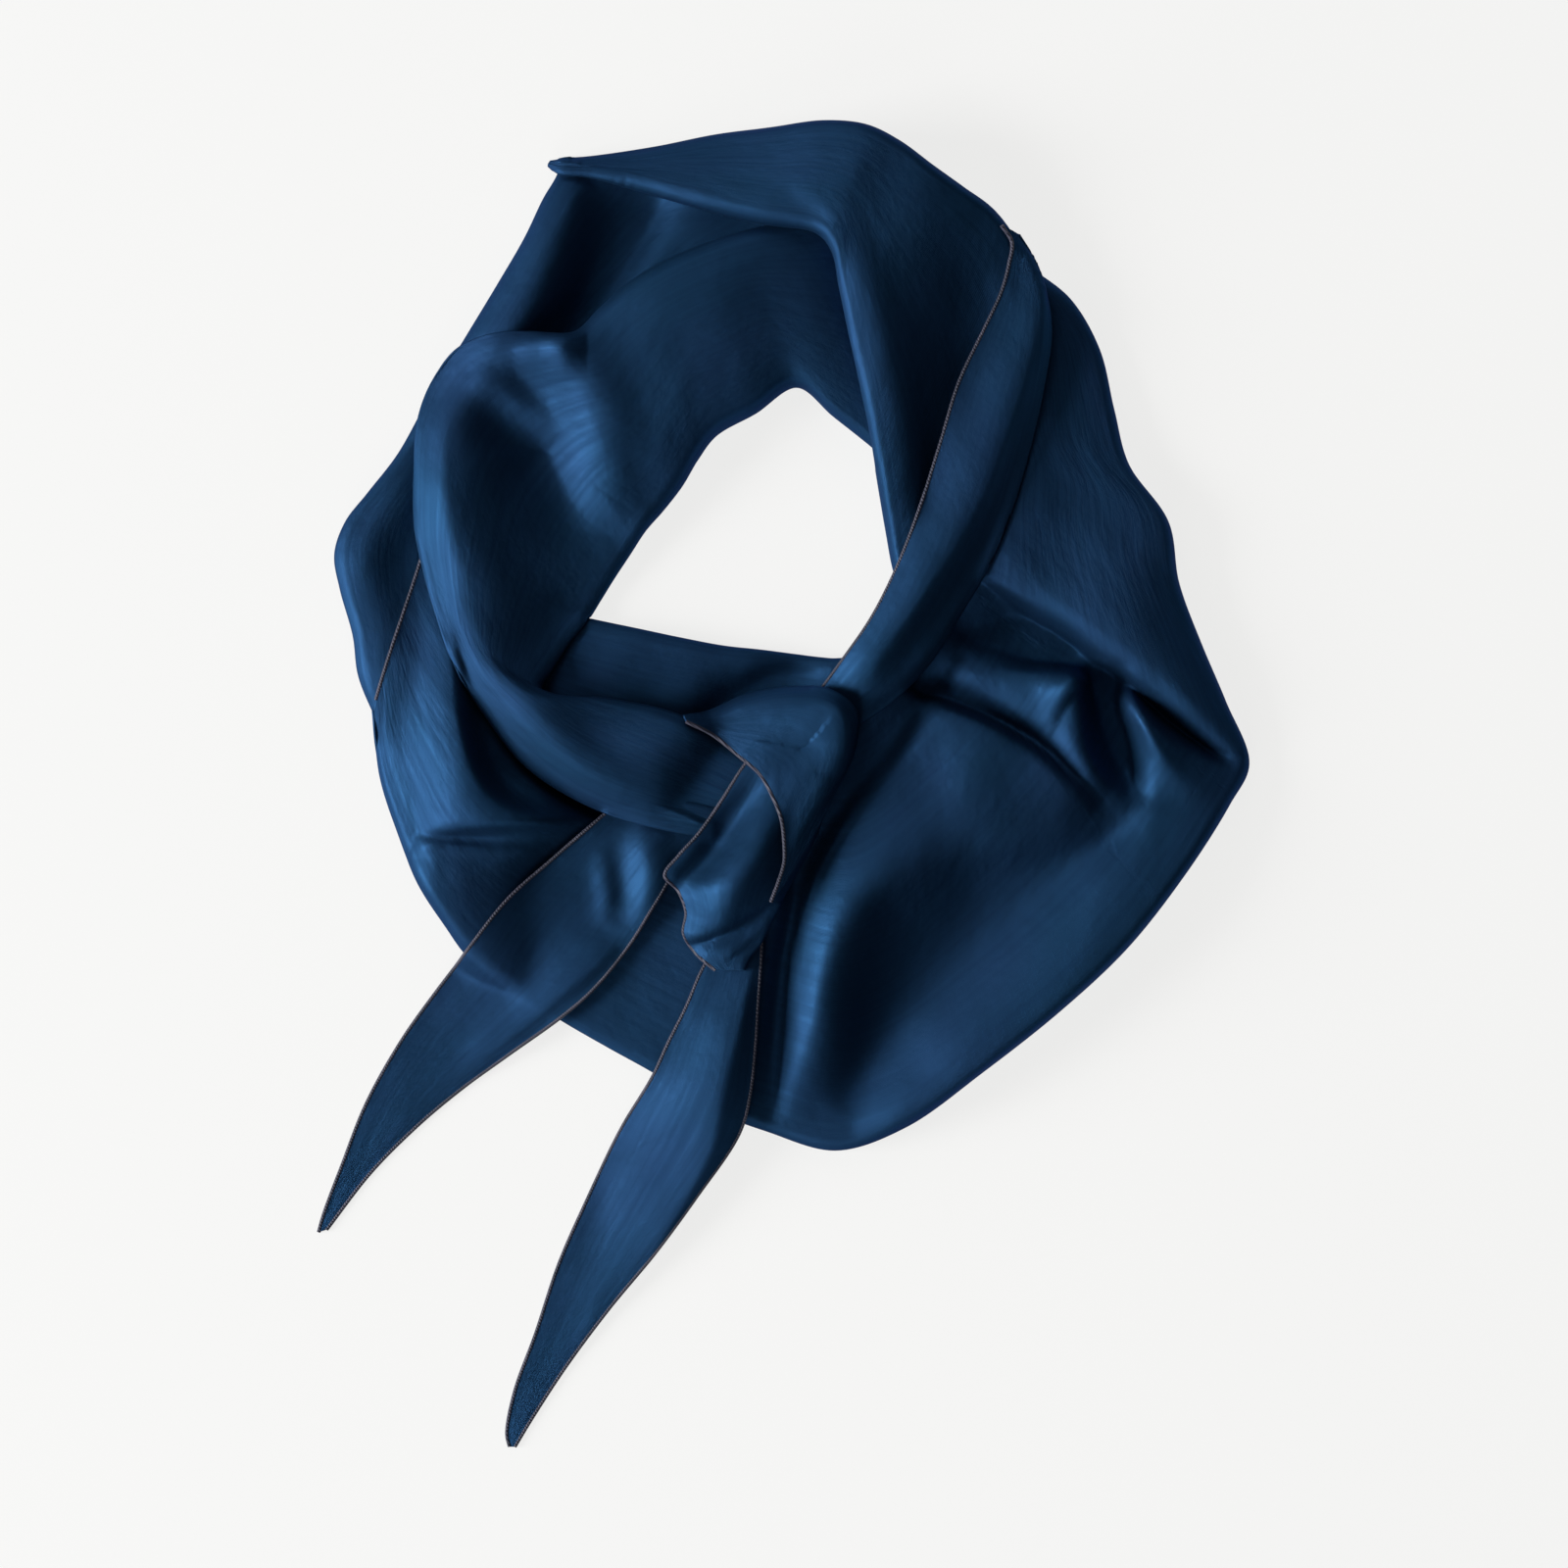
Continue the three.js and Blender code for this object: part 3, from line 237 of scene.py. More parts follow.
LEFT_TAIL = dict(
    name="tail_left", rows=200, columns=56, inner="free", outer="free",
    hems={"hem_tail_left_outer": "inner", "hem_tail_left_inner": "outer"},
    sections=table(SECTION, [
        (-60, -5, 9, -29, -18, 9, 10),
        (-74, -17, 9, -40, -31, 9, 9),
        (-89, -30, 9, -49, -46, 9, 8),
        (-104.5, -44, 9, -59, -62, 9, 8),
        (-120.8, -64.6, 5, -73, -79, 9, 6),
        (-133.5, -80.9, 2, -85.5, -89.7, 7, 3),
        (-146.3, -98.9, -2, -105.3, -103.9, 3, 0),
        (-159.6, -122.6, -5, -123.3, -117, -2, -2),
        (-169, -146.4, -5, -139.6, -130.6, -3, -3),
        (-176, -165, -5, -158, -149, -5, -4),
        (-178, -172, -5, -175, -171, -5, -4),
    ]),
    folds=table(FOLD, [
        (2, [(-52, -14, 0, 8, 6), (-51, -24, 4, 10, 8), (-50, -34, 6, 10, 8), (-52, -45, 5, 8, 7),
             (-57, -56, 2, 8, 8), (-61, -64, 0, 6, 6)]),
        (2, [(-70, -22, 0, 4, 4), (-68, -34, 1.5, 4, 5), (-67, -45, 2, 4, 5), (-70, -56, 0, 5, 5)]),
        (2, [(-60, -54, 0, 4, 8), (-70, -67, 2.5, 4, 13), (-84, -79, 3, 4, 14), (-102, -94, 2.5, 4, 13),
             (-120, -108, 1.5, 4, 10), (-138, -122, 1, 4, 8), (-158, -144, 0, 3, 6)]),
    ]),
)

LEFT_BAND = dict(
    name="neck_band_left", rows=330, columns=112, inner="fold", outer="fold",
    hems={},
    sections=table(SECTION, [
        (51, 112, 9, 43, 209, 12, 13),
        (36, 126, 11, 24, 215, 15, 17),
        (19, 139.5, 14, 2, 212, 18, 22),
        (5, 150.5, 16, -19, 207, 20, 25),
        (-11, 140.5, 16, -36, 201, 21, 27),
        (-26, 132, 15, -54, 192, 21, 27),
        (-33, 123, 14, -69, 180, 20, 25),
        (-39, 113, 13, -80, 170, 19, 22),
        (-46, 104, 12, -95, 170, 17, 18),
        (-53, 96, 12, -111, 169, 14, 14),
        (-59, 87, 9, -124, 164, 11, 13),
        (-65, 78, 7, -134, 151, 11, 12),
        (-70, 70, 6, -139, 136, 12, 11),
        (-75, 62, 6, -140, 117, 14, 10),
        (-82, 53, 8, -140, 98, 14, 10),
        (-88, 43, 11, -136, 78, 14, 10),
        (-92, 35, 14, -131, 62, 14, 12),
        (-83, 32, 16, -124.5, 44, 14, 16),
        (-70, 32, 17, -114, 26.5, 14, 19),
        (-57, 30, 17, -98.5, 6.5, 13, 19),
        (-44, 27, 18, -76, -8, 12, 20),
        (-32, 22, 18, -55, -15.5, 11, 18),
        (-18, 14, 9, -34, -20, 9, 10),
        (-6, 6, 7, -18, -23, 7, 8),
    ]),
    folds=table(FOLD, [
        (2, [(-74, 166, 0, 10, 6), (-84, 166, 7, 12, 6), (-95, 164, 8, 12, 6), (-105, 160, 6, 12, 7),
             (-114, 153, 5, 12, 8), (-121, 144, 6, 12, 9), (-126, 131, 9, 16, 10), (-126, 116, 12, 22, 11),
             (-124, 98, 13, 27, 12), (-120, 80, 12.5, 29, 12), (-117, 64, 11.5, 25, 12),
             (-111, 50, 10, 19, 11), (-100.5, 35, 8, 14, 11), (-88, 19, 7, 12, 10), (-71, 5, 5, 12, 9),
             (-52, -2, 2, 12, 9), (-40, -7, 0, 10, 8)]),
        (2, [(-116, 153, 0, 6, 6), (-107, 142, -3, 8, 10), (-93, 127, -6, 9, 14), (-86, 112, -5, 9, 16),
             (-83, 98, -2.5, 12, 16), (-80, 84, 0, 14, 14)]),
        (2, [(-86, 170, 0, 8, 6), (-82, 163, 4, 12, 8), (-75, 149, 6, 14, 12), (-69, 132, 6, 14, 12),
             (-66, 116, 4, 11, 12), (-66, 104, 2, 9, 11), (-67, 94, 0, 8, 10)]),
        (2, [(-119, 156, 0, 5, 5), (-112, 151, 3, 7, 8), (-103, 144, 4, 7, 9), (-95, 137, 3, 7, 9),
             (-87, 130, 0, 5, 6)]),
        (2, [(-7, 21, 0, 5, 6), (-14, 9, -3, 6, 13), (-22, -3, -4, 6, 16), (-31, -16, -3, 6, 13),
             (-40, -29, 0, 5, 6)]),
    ]),
)

BACK_BAND = dict(
    name="neck_band_back", rows=280, columns=90, inner="fold", outer="fold",
    hems={},
    sections=table(SECTION, [
        (-90, 235.5, 2, -89, 237, 2, 2),
        (-85.5, 231.5, 6, -82.5, 237.5, 6, 7),
        (-74, 230, 12, -69, 239, 7, 10),
        (-56, 225, 16, -48, 242, 9, 14),
        (-34, 218, 21, -26, 246, 14, 19),
        (-9, 211, 26, -4, 248, 21, 25),
        (12, 207, 30, 15, 249.5, 27, 30),
        (18, 200, 30, 31, 247.5, 30, 31),
        (21, 186, 27, 43.5, 241.5, 30, 29),
        (25, 167, 25, 56, 232.5, 29, 27),
        (29, 149, 24, 67.5, 225, 25, 24),
        (33, 130, 23, 80, 216.5, 20, 20),
        (36, 112, 22, 90, 202, 14, 17),
        (39, 95, 20, 94, 182, 11, 15),
        (42, 80, 18, 89, 152, 12, 14),
        (46, 70, 16, 82, 123, 12, 12),
    ]),
    folds=table(FOLD, [
        (2, [(22, 209, 0, 7, 6), (27, 196, 2, 9, 6), (32, 182, 3.5, 9, 9), (37, 167, 4, 9, 12),
             (41, 149, 4.5, 9, 12), (45, 130, 4.5, 8, 12), (48, 112, 4, 8, 11), (51, 95, 3, 7, 9),
             (53, 82, 2, 6, 7), (53, 74, 0, 5, 5)]),
        (2, [(60, 212, 0, 14, 14), (66, 200, -2, 15, 15), (70, 184, -4, 15, 16), (68, 161, -5, 13, 15),
             (63, 134, -4, 11, 12), (58, 112, -3, 9, 9), (54, 96, 0, 7, 7)]),
        (2, [(19, 209, 0, 3, 3), (12, 212, -1.5, 4, 4), (3, 216, -1, 6, 6), (-4, 221, 0, 6, 6)]),
    ]),
)

RIGHT_BAND = dict(
    name="neck_band_right", rows=260, columns=64, inner="free", outer="fold",
    hems={"hem_neck_band": "inner"},
    sections=table(SECTION, [
        (82, 210, 12, 89, 207, 11, 12),
        (86, 204, 15, 95, 198, 12, 15),
        (85, 196, 16, 99, 186, 14, 15),
        (82, 185, 17, 101, 170, 15, 16),
        (75, 170, 18, 98, 149, 15, 17),
        (66, 151, 19, 93, 127, 16, 18),
        (59, 128, 20, 86, 103, 17, 20),
        (52, 106, 20, 78, 83, 17, 21),
        (43, 82, 20, 67, 64, 17, 21),
        (33, 62, 20, 55, 45, 17, 21),
        (22, 46, 18, 40, 30, 15, 20),
        (12, 32, 14, 23, 18, 13, 15),
        (8, 24, 12, 17, 11, 11, 12),
    ]),
    folds=table(FOLD, [
        (2, [(99, 200, 0, 5, 5), (97, 183, 3, 5, 9), (93, 162, 4.5, 6, 11), (86, 140, 6, 6, 13),
             (75, 110, 6.5, 6, 15), (63, 88, 7, 6, 16), (51, 70, 7, 6, 15), (34, 46, 4, 6, 12),
             (26, 34, 0, 6, 9)]),
    ]),
)

RIGHT_TAIL = dict(
    name="tail_right", rows=240, columns=60, inner="free", outer="free",
    hems={"hem_tail_right_outer": "inner", "hem_tail_right_inner": "outer"},
    sections=table(SECTION, [
        (-21, -49, 11, -6, -46, 11, 12),
        (-24, -59, 12, -8, -55, 12, 13),
        (-31, -71, 12, -9, -70, 13, 13),
        (-37, -85, 12, -10, -83, 13, 13),
        (-44, -99, 11, -11, -99, 13, 12),
        (-50, -112, 9, -13, -118, 12, 11),
        (-62, -132, 4, -17, -133, 10, 8),
        (-75, -159, -1, -33, -157, 6, 3),
        (-86, -184, -4, -49, -179, 2, 0),
        (-95, -211, -5, -67, -201, -1, -2),
        (-103, -233, -5, -84, -224, -3, -3),
        (-106, -249, -5, -97, -244, -5, -3),
        (-105, -254, -5, -103, -254, -5, -4),
    ]),
    folds=table(FOLD, [
        (2, [(-12, -62, 0, 3, 8), (-15, -80, 3, 4, 12), (-19, -98, 6, 6, 15), (-24, -117, 7, 8, 20),
             (-28, -138, 6, 7, 24), (-40, -162, 5, 5, 24), (-55, -186, 4, 4, 18), (-73, -210, 3, 4, 12),
             (-88, -234, 1.5, 3, 8), (-98, -247, 0, 3, 4)]),
    ]),
)

KNOT_CORE = dict(
    name="knot_core", rows=150, columns=80, inner="free", outer="fold",
    hems={"hem_knot_core": "inner"},
    sections=table(SECTION, [
        (-9, 14, 19, 20, 8, 17, 20),
        (-16, 5, 19, 18, -2, 17, 20.5),
        (-23, -6, 19, 15, -12, 17, 21),
        (-32, -19, 19, 11, -23, 17, 22),
        (-40, -28, 19, 6, -32, 17, 23),
        (-45, -35, 18, 1, -41, 17, 23),
        (-40, -41, 17, -3, -49, 17, 22),
        (-37, -49, 16, -6, -55, 16, 21),
        (-38, -57, 15, -9, -61, 15, 20),
        (-34, -64, 14, -13, -66, 15, 18),
        (-26, -71, 12, -15, -71, 13, 14),
    ]),
    folds=table(FOLD, [
        (2, [(-7, 5, 0, 4, 4), (-15, -8, -4, 5, 5), (-23, -19, -7, 6, 6), (-29, -29, -7, 6, 6),
             (-38, -37, -4, 5, 5), (-45, -40, 0, 4, 4)]),
        (2, [(5, 2, 0, 5, 6), (0, -9, 2, 5, 7), (-6, -18, 4, 6, 8), (-11, -29, 5, 7, 9),
             (-19, -40, 5, 7, 9), (-24, -50, 3, 6, 8), (-27, -56, 0, 5, 6)]),
        (1.8, [(-41, -62, 0, 2, 3), (-33, -61, -3, 2, 4), (-22, -58, -5, 3, 4), (-12, -53, -5, 3, 4),
               (-2, -44, 0, 2, 3)]),
        (1.8, [(-24, -73, 0, 2, 2), (-19, -68, -3, 2, 3), (-11, -61, -3, 2, 3), (-6, -55, 0, 2, 2)]),
    ]),
)

KNOT_WRAP = dict(
    name="knot_wrap", rows=150, columns=80, inner="free", outer="fold",
    hems={"hem_knot_wrap": "inner"},
    sections=table(SECTION, [
        (-37, 23, 15, -38, 25, 13, 15),
        (-27, 18, 18, -29, 27, 13, 16),
        (-17, 10, 20, -15, 33, 16, 20),
        (-9, 3, 22, 1, 36, 19, 23),
        (-4, -6, 23, 17, 35, 23, 25),
        (-1, -14, 24, 27, 27, 23, 26),
        (0, -22, 24, 26.5, 12, 20, 25),
        (0, -30, 23, 18, -6, 15, 22),
        (-2, -37, 21, 10, -22, 14, 20),
        (-5, -45, 19, 1, -37, 14, 17),
    ]),
    folds=table(FOLD, [
        (2, [(-18, 25, 0, 6, 6), (-6, 27, 1, 7, 8), (7, 28, 2.5, 5, 12), (20, 27, 4.5, 4, 15),
             (22.5, 15, 3.5, 4, 14), (18, 2, 0, 4, 8)]),
    ]),
)

# From the table up: each lies on those before it
SHEETS = [
    OUTER_BAND, FRONT_PANEL, LEFT_TAIL, LEFT_BAND, BACK_BAND, RIGHT_BAND, RIGHT_TAIL, KNOT_CORE, KNOT_WRAP,
]


def smooth_curve(points, count):
    """A smooth curve through rows that start with x and y: count rows, evenly from point to point."""
    points = np.array(points, float)
    ends = np.vstack([2 * points[0] - points[1], points, 2 * points[-1] - points[-2]])
    where = np.linspace(0, len(points) - 1, count)
    part = np.minimum(where.astype(int), len(points) - 2)
    share = (where - part)[:, None]
    p0, p1, p2, p3 = (ends[part + k] for k in range(4))
    step = [
        np.maximum(np.hypot(*(b - a)[:, :2].T)[:, None] ** 0.5, SHORTEST_STEP)
        for a, b in ((p0, p1), (p1, p2), (p2, p3))
    ]
    out = ((p1 - p0) / step[0] - (p2 - p0) / (step[0] + step[1]) + (p2 - p1) / step[1]) * step[1]
    into = ((p2 - p1) / step[1] - (p3 - p1) / (step[1] + step[2]) + (p3 - p2) / step[2]) * step[1]
    square, cube = share**2, share**3
    return (
        (2 * cube - 3 * square + 1) * p1 + (cube - 2 * square + share) * out
        + (3 * square - 2 * cube) * p2 + (cube - square) * into
    )


def soft_max(a, b, blend):
    """The larger of two heights, with a soft change between them."""
    return (a + b + np.hypot(a - b, blend)) / 2


def highest(heights, steps):
    """For each cell the highest neighbour, less what each step to it costs."""
    padded = np.pad(heights, 1, mode="edge")
    rows, columns = heights.shape
    return np.max([padded[1 + i:1 + i + rows, 1 + j:1 + j + columns] - cost for i, j, cost in steps], axis=0)


def smoothed(heights):
    """For each cell the mean of it and its neighbours."""
    padded = np.pad(heights, 1, mode="edge")
    rows, columns = heights.shape
    return np.mean([padded[i:i + rows, j:j + columns] for i in range(3) for j in range(3)], axis=0)


def refine(grid):
    """The grid with a point more between every two, both ways."""
    for axis in (0, 1):
        grid = np.moveaxis(grid, axis, 0)
        fine = np.empty((2 * len(grid) - 1, *grid.shape[1:]))
        fine[::2] = grid
        fine[1::2] = (grid[1:] + grid[:-1]) / 2
        grid = np.moveaxis(fine, 0, axis)
    return grid


class Ground:
    """The heights that a sheet can lie on."""

    def __init__(self):
        self.shape = tuple((2 * HALF / CELL).astype(int) + 1)
        self.top = np.zeros(self.shape)

    def cell(self, places):
        return (places + HALF) / CELL

    def add(self, grid):
        """Adds a grid of surface points: each cell keeps the highest of them."""
        fine = refine(refine(grid))
        cells = np.rint(self.cell(fine[..., :2])).astype(int).reshape(-1, 2)
        cells = np.clip(cells, 0, np.array(self.shape) - 1)
        np.maximum.at(self.top, (cells[:, 0], cells[:, 1]), fine[..., 2].ravel() + WALL / 2)

    def prepare(self):
        """Works out the lowest middle surface that clears what lies below, and a drape over it."""
        around = [(i, j) for i in (-1, 0, 1) for j in (-1, 0, 1)]
        lifted = np.where(self.top > 0, self.top + GAP, 0) + WALL / 2
        self.clear = highest(lifted, [(i, j, 0) for i, j in around])
        drape = self.clear
        for _ in range(DRAPE_CELLS):
            drape = highest(drape, [(i, j, math.hypot(i, j) * CELL * STEEPEST) for i, j in around])
        for _ in range(DRAPE_SMOOTHING):
            drape = smoothed(drape)
        self.drape = np.maximum(drape, self.clear)

    def at(self, heights, places):
        """One of the lattice's heights at any places, worked out between the four cells round each."""
        where = np.clip(self.cell(places), 0, np.array(self.shape) - INSIDE)
        low = where.astype(int)
        u, v = (where - low)[..., 0], (where - low)[..., 1]
        i, j = low[..., 0], low[..., 1]
        near = heights[i, j] * (1 - u) + heights[i + 1, j] * u
        far = heights[i, j + 1] * (1 - u) + heights[i + 1, j + 1] * u
        return near * (1 - v) + far * v


def fold_height(folds, places):
    """The height that a sheet's own folds add at each place."""
    flat = places.reshape(-1, 2)
    height = np.zeros(len(flat))
    for fold in folds:
        path = smooth_curve(fold["path"], PATH_STEPS * len(fold["path"]))
        margin = FADED * path[:, 3:].max()
        low, high = path[:, :2].min(axis=0) - margin, path[:, :2].max(axis=0) + margin
        near = ((flat > low) & (flat < high)).all(axis=1)
        spot = flat[near]
        nearest = np.full(len(spot), np.inf)
        side = np.zeros(len(spot))
        rise, left, right = np.zeros((3, len(spot)))
        for step, (a, b) in enumerate(zip(path[:-1], path[1:])):
            run = b[:2] - a[:2]
            length = np.hypot(*run)
            run = run / length
            offset = spot - a[:2]
            share = np.clip(offset @ run / length, 0, 1)
            distance = np.hypot(*(offset - np.outer(share * length, run)).T)
            closer = distance < nearest
            nearest[closer] = distance[closer]
            # 1 on the left of the path and -1 on its right, with a soft change round its two ends
            turn = run[0] * offset[:, 1] - run[1] * offset[:, 0]
            beyond = ((share == 0) & (step == 0)) | ((share == 1) & (step == len(path) - 2))
            soft = turn / np.maximum(distance, TINY_LENGTH)
            side[closer] = np.where(beyond, soft, np.sign(turn))[closer]
            values = np.outer(1 - share, a[2:]) + np.outer(share, b[2:])
            rise[closer], left[closer], right[closer] = values[closer].T
        across = (1 + np.clip(side, -1, 1)) / 2
        reach = left * across + right * (1 - across)
        height[near] += rise * np.exp(-((nearest / np.maximum(reach, SHORTEST_REACH)) ** fold["power"]))
    return height.reshape(places.shape[:-1])


def ripple(places, number):
    """The small unevenness of cloth that was handled, as a height. It differs from sheet to sheet."""
    x, y = places[..., 0], places[..., 1]
    height = 0
    for wave, (along, across) in zip(WAVES, [(x, y), (y, x), (x + y, x - y)]):
        sway = wave["sway"] * np.sin(across / wave["sway_length"] + wave["sway_turn"] * number)
        height = height + np.sin(along / wave["length"] + sway + wave["turn"] * number)
    return RIPPLE * height


def surface(piece, ground, number):
    """The grid of one sheet's middle surface, laid on the ground, and the columns of its top side."""
    rows = piece["sections"]
    inner = smooth_curve([(r["ix"], r["iy"], r["iz"]) for r in rows], piece["rows"])
    outer = smooth_curve([(r["ox"], r["oy"], r["oz"]) for r in rows], piece["rows"])
    crown = smooth_curve([(r["ix"], r["iy"], r["crown"]) for r in rows], piece["rows"])[:, 2:]
    inner_fold, outer_fold = piece["inner"] == "fold", piece["outer"] == "fold"
    width = np.hypot(*(outer - inner)[:, :2].T)[:, None]
    roll = np.minimum(ROLL, width * ROLL_SHARE)
    tuck = np.minimum(TUCK, width * TUCK_SHARE)
    curl = roll * (1 - np.cos(ARC))

    def place(distance):
        """The places at these distances from the inner edge, in each row."""
        share = (distance / width)[..., None]
        return inner[:, None, :2] * (1 - share) + outer[:, None, :2] * share

    evenly = np.linspace(0, 1, piece["columns"])
    reach = roll * inner_fold * (1 - evenly) + (width - roll * outer_fold) * evenly
    if inner_fold:
        reach = np.concatenate([curl, reach], axis=1)
    if outer_fold:
        reach = np.concatenate([reach, (width - curl)[:, ::-1]], axis=1)
    where = place(reach)
    share = reach / width
    bulge = 1 - np.abs(2 * share - 1) ** CROWN_POWER
    own = inner[:, 2:] * (1 - share) + outer[:, 2:] * share
    own += bulge * (crown - (inner[:, 2:] + outer[:, 2:]) / 2 + ripple(where, number))
    own += fold_height(piece["folds"], where)
    lowest = ground.at(ground.drape, where) + LIP_ROOM * (inner_fold or outer_fold)
    parts = [np.concatenate([where, soft_max(own, lowest, EDGE_BLEND)[..., None]], axis=2)]

    def turn_under(at, shoulder):
        """The middle height of a folded edge, and the grid of what curls under and lies tucked in."""
        low = np.maximum(ground.at(ground.clear, place(at(roll))[:, 0]), shoulder - ROLL_DEPTH)
        middle = ((shoulder + low) / 2)[:, None]
        half = middle - low[:, None]
        below = [np.concatenate([place(at(curl)), (middle - half * np.sin(ARC))[..., None]], axis=2)]
        for distance in (roll, roll + tuck / 2, roll + tuck):
            end = place(at(distance))
            floor = np.maximum(ground.at(ground.clear, end), low[:, None])
            below.append(np.concatenate([end, floor[..., None]], axis=2))
        return middle, np.concatenate(below, axis=1)

    rim = len(ARC)
    top = parts[0][..., 2]
    if inner_fold:
        middle, below = turn_under(lambda distance: distance, top[:, rim])
        top[:, :rim] = middle + (top[:, :rim] - middle) * np.sin(ARC)
        parts.insert(0, below[:, ::-1])
    if outer_fold:
        middle, below = turn_under(lambda distance: width - distance, top[:, -rim - 1])
        top[:, -rim:] = middle + (top[:, -rim:] - middle) * np.sin(ARC[::-1])
        parts.append(below)
    grid = np.concatenate(parts, axis=1)
    grid[..., 2] = np.maximum(grid[..., 2], ground.at(ground.clear, grid[..., :2]))
    begin = (parts[0].shape[1] + rim) if inner_fold else 0
    return grid, slice(begin, begin + piece["columns"])


def grid_normals(grid):
    along = np.gradient(grid, axis=0)
    across = np.gradient(grid, axis=1)
    normals = np.cross(across, along)
    return normals / np.maximum(np.linalg.norm(normals, axis=-1, keepdims=True), TINY_AREA)


def to_metres(points):
    return np.column_stack([points[:, :2] - MIDDLE, points[:, 2]]) * MM


def add_flat_map(mesh, grid):
    """A UV map in metres along and across the cloth, the same on both sides of the sheet."""
    run = np.append(0, np.linalg.norm(np.diff(grid[:, grid.shape[1] // 2], axis=0), axis=1).cumsum())
    reach = np.append(0, np.linalg.norm(np.diff(grid, axis=1), axis=2).mean(axis=0).cumsum())
    u, v = np.meshgrid(run * MM, reach * MM, indexing="ij")
    flat = np.column_stack([u.ravel(), v.ravel()])
    flat = np.concatenate([flat, flat])
    layer = mesh.uv_layers.new(name="cloth")
    loops = np.empty(len(mesh.loops), dtype=np.int32)
    mesh.loops.foreach_get("vertex_index", loops)
    layer.data.foreach_set("uv", flat[loops].ravel())


def make_sheet(piece, grid):
    """Gives a grid of points a wall, closes it all round and makes it a mesh object."""
    middle = grid.shape[1] // 2
    across = grid[1, -1, :2] - grid[1, 0, :2]
    along = grid[2, middle, :2] - grid[1, middle, :2]
    if across[0] * along[1] - across[1] * along[0] < 0:
        grid = grid[::-1]  # so that its normals point up
    rows, columns = grid.shape[:2]
    offset = grid_normals(grid) * WALL / 2
    points = np.concatenate([(grid + offset).reshape(-1, 3), (grid - offset).reshape(-1, 3)])
    index = np.arange(rows * columns).reshape(rows, columns)
    corners = [index[:-1, :-1], index[1:, :-1], index[1:, 1:], index[:-1, 1:]]
    upper = np.stack(corners[::-1], axis=-1).reshape(-1, 4)
    lower = np.stack(corners, axis=-1).reshape(-1, 4) + rows * columns
    ring = np.concatenate([index[:, 0], index[-1, 1:], index[-2::-1, -1], index[0, -2:0:-1]])
    nearby = np.roll(ring, -1)
    walls = np.stack([ring, nearby, nearby + rows * columns, ring + rows * columns], axis=-1)
    faces = np.concatenate([upper, lower, walls])
    mesh = bpy.data.meshes.new(piece["name"])
    mesh.from_pydata(to_metres(points).tolist(), [], faces.tolist())
    mesh.polygons.foreach_set("use_smooth", [True] * len(faces))
    add_flat_map(mesh, grid)
    mesh.validate()
    sheet = bpy.data.objects.new(piece["name"] + "_cloth", mesh)
    bpy.context.scene.collection.objects.link(sheet)
    return sheet


def make_hem(name, line):
    """A thin rolled hem along one edge."""
    curve = bpy.data.curves.new(name, "CURVE")
    curve.dimensions = "3D"
    curve.bevel_depth = HEM_RADIUS * MM
    curve.bevel_resolution = 3
    curve.use_fill_caps = True
    spline = curve.splines.new("POLY")
    spline.points.add(len(line) - 1)
    spline.points.foreach_set("co", np.column_stack([to_metres(line), np.ones(len(line))]).ravel())
    hem = bpy.data.objects.new(name + "_roll", curve)
    bpy.context.scene.collection.objects.link(hem)
    bpy.ops.object.select_all(action="DESELECT")
    hem.select_set(True)
    bpy.context.view_layer.objects.active = hem
    bpy.ops.object.convert(target="MESH")
    bpy.ops.object.shade_smooth()
    return hem


def set_inputs(node, values):
    for name, value in values.items():
        node.inputs[name].default_value = value


def new_material(name):
    material = bpy.data.materials.new(name)
    material.use_nodes = True
    tree = material.node_tree
    return material, tree.nodes, tree.links, tree.nodes["Principled BSDF"]


def noise(nodes, links, source, per_metre, detail):
    """Soft random values, so many to the metre along each of the source's coordinates."""
    mapping = nodes.new("ShaderNodeMapping")
    texture = nodes.new("ShaderNodeTexNoise")
    set_inputs(mapping, {"Scale": per_metre})
    set_inputs(texture, {"Scale": 1, "Detail": detail})
    links.new(source, mapping.inputs["Vector"])
    links.new(mapping.outputs["Vector"], texture.inputs["Vector"])
    return texture.outputs["Fac"]


def between(nodes, links, value, low, high):
    """Spreads noise over a range of its own."""
    spread = nodes.new("ShaderNodeMapRange")
    set_inputs(spread, {"From Min": NOISE_RANGE[0], "From Max": NOISE_RANGE[1]})
    set_inputs(spread, {"To Min": low, "To Max": high})
    links.new(value, spread.inputs["Value"])
    return spread.outputs["Result"]


def blend_colours(nodes, links, value, colours):
    """A colour between two, which goes from the first to the second with the noise."""
    mix = nodes.new("ShaderNodeMix")
    mix.data_type = "RGBA"
    set_inputs(mix, {"A": (*colours[0], 1), "B": (*colours[1], 1)})
    links.new(between(nodes, links, value, 0, 1), mix.inputs["Factor"])
    return mix.outputs["Result"]


def raise_surface(nodes, links, height, depth, below=None):
    """A bump of the given depth in metres, on top of the one before it."""
    bump = nodes.new("ShaderNodeBump")
    set_inputs(bump, {"Strength": 1, "Distance": depth})
    links.new(height, bump.inputs["Height"])
    if below:
        links.new(below, bump.inputs["Normal"])
    return bump.outputs["Normal"]


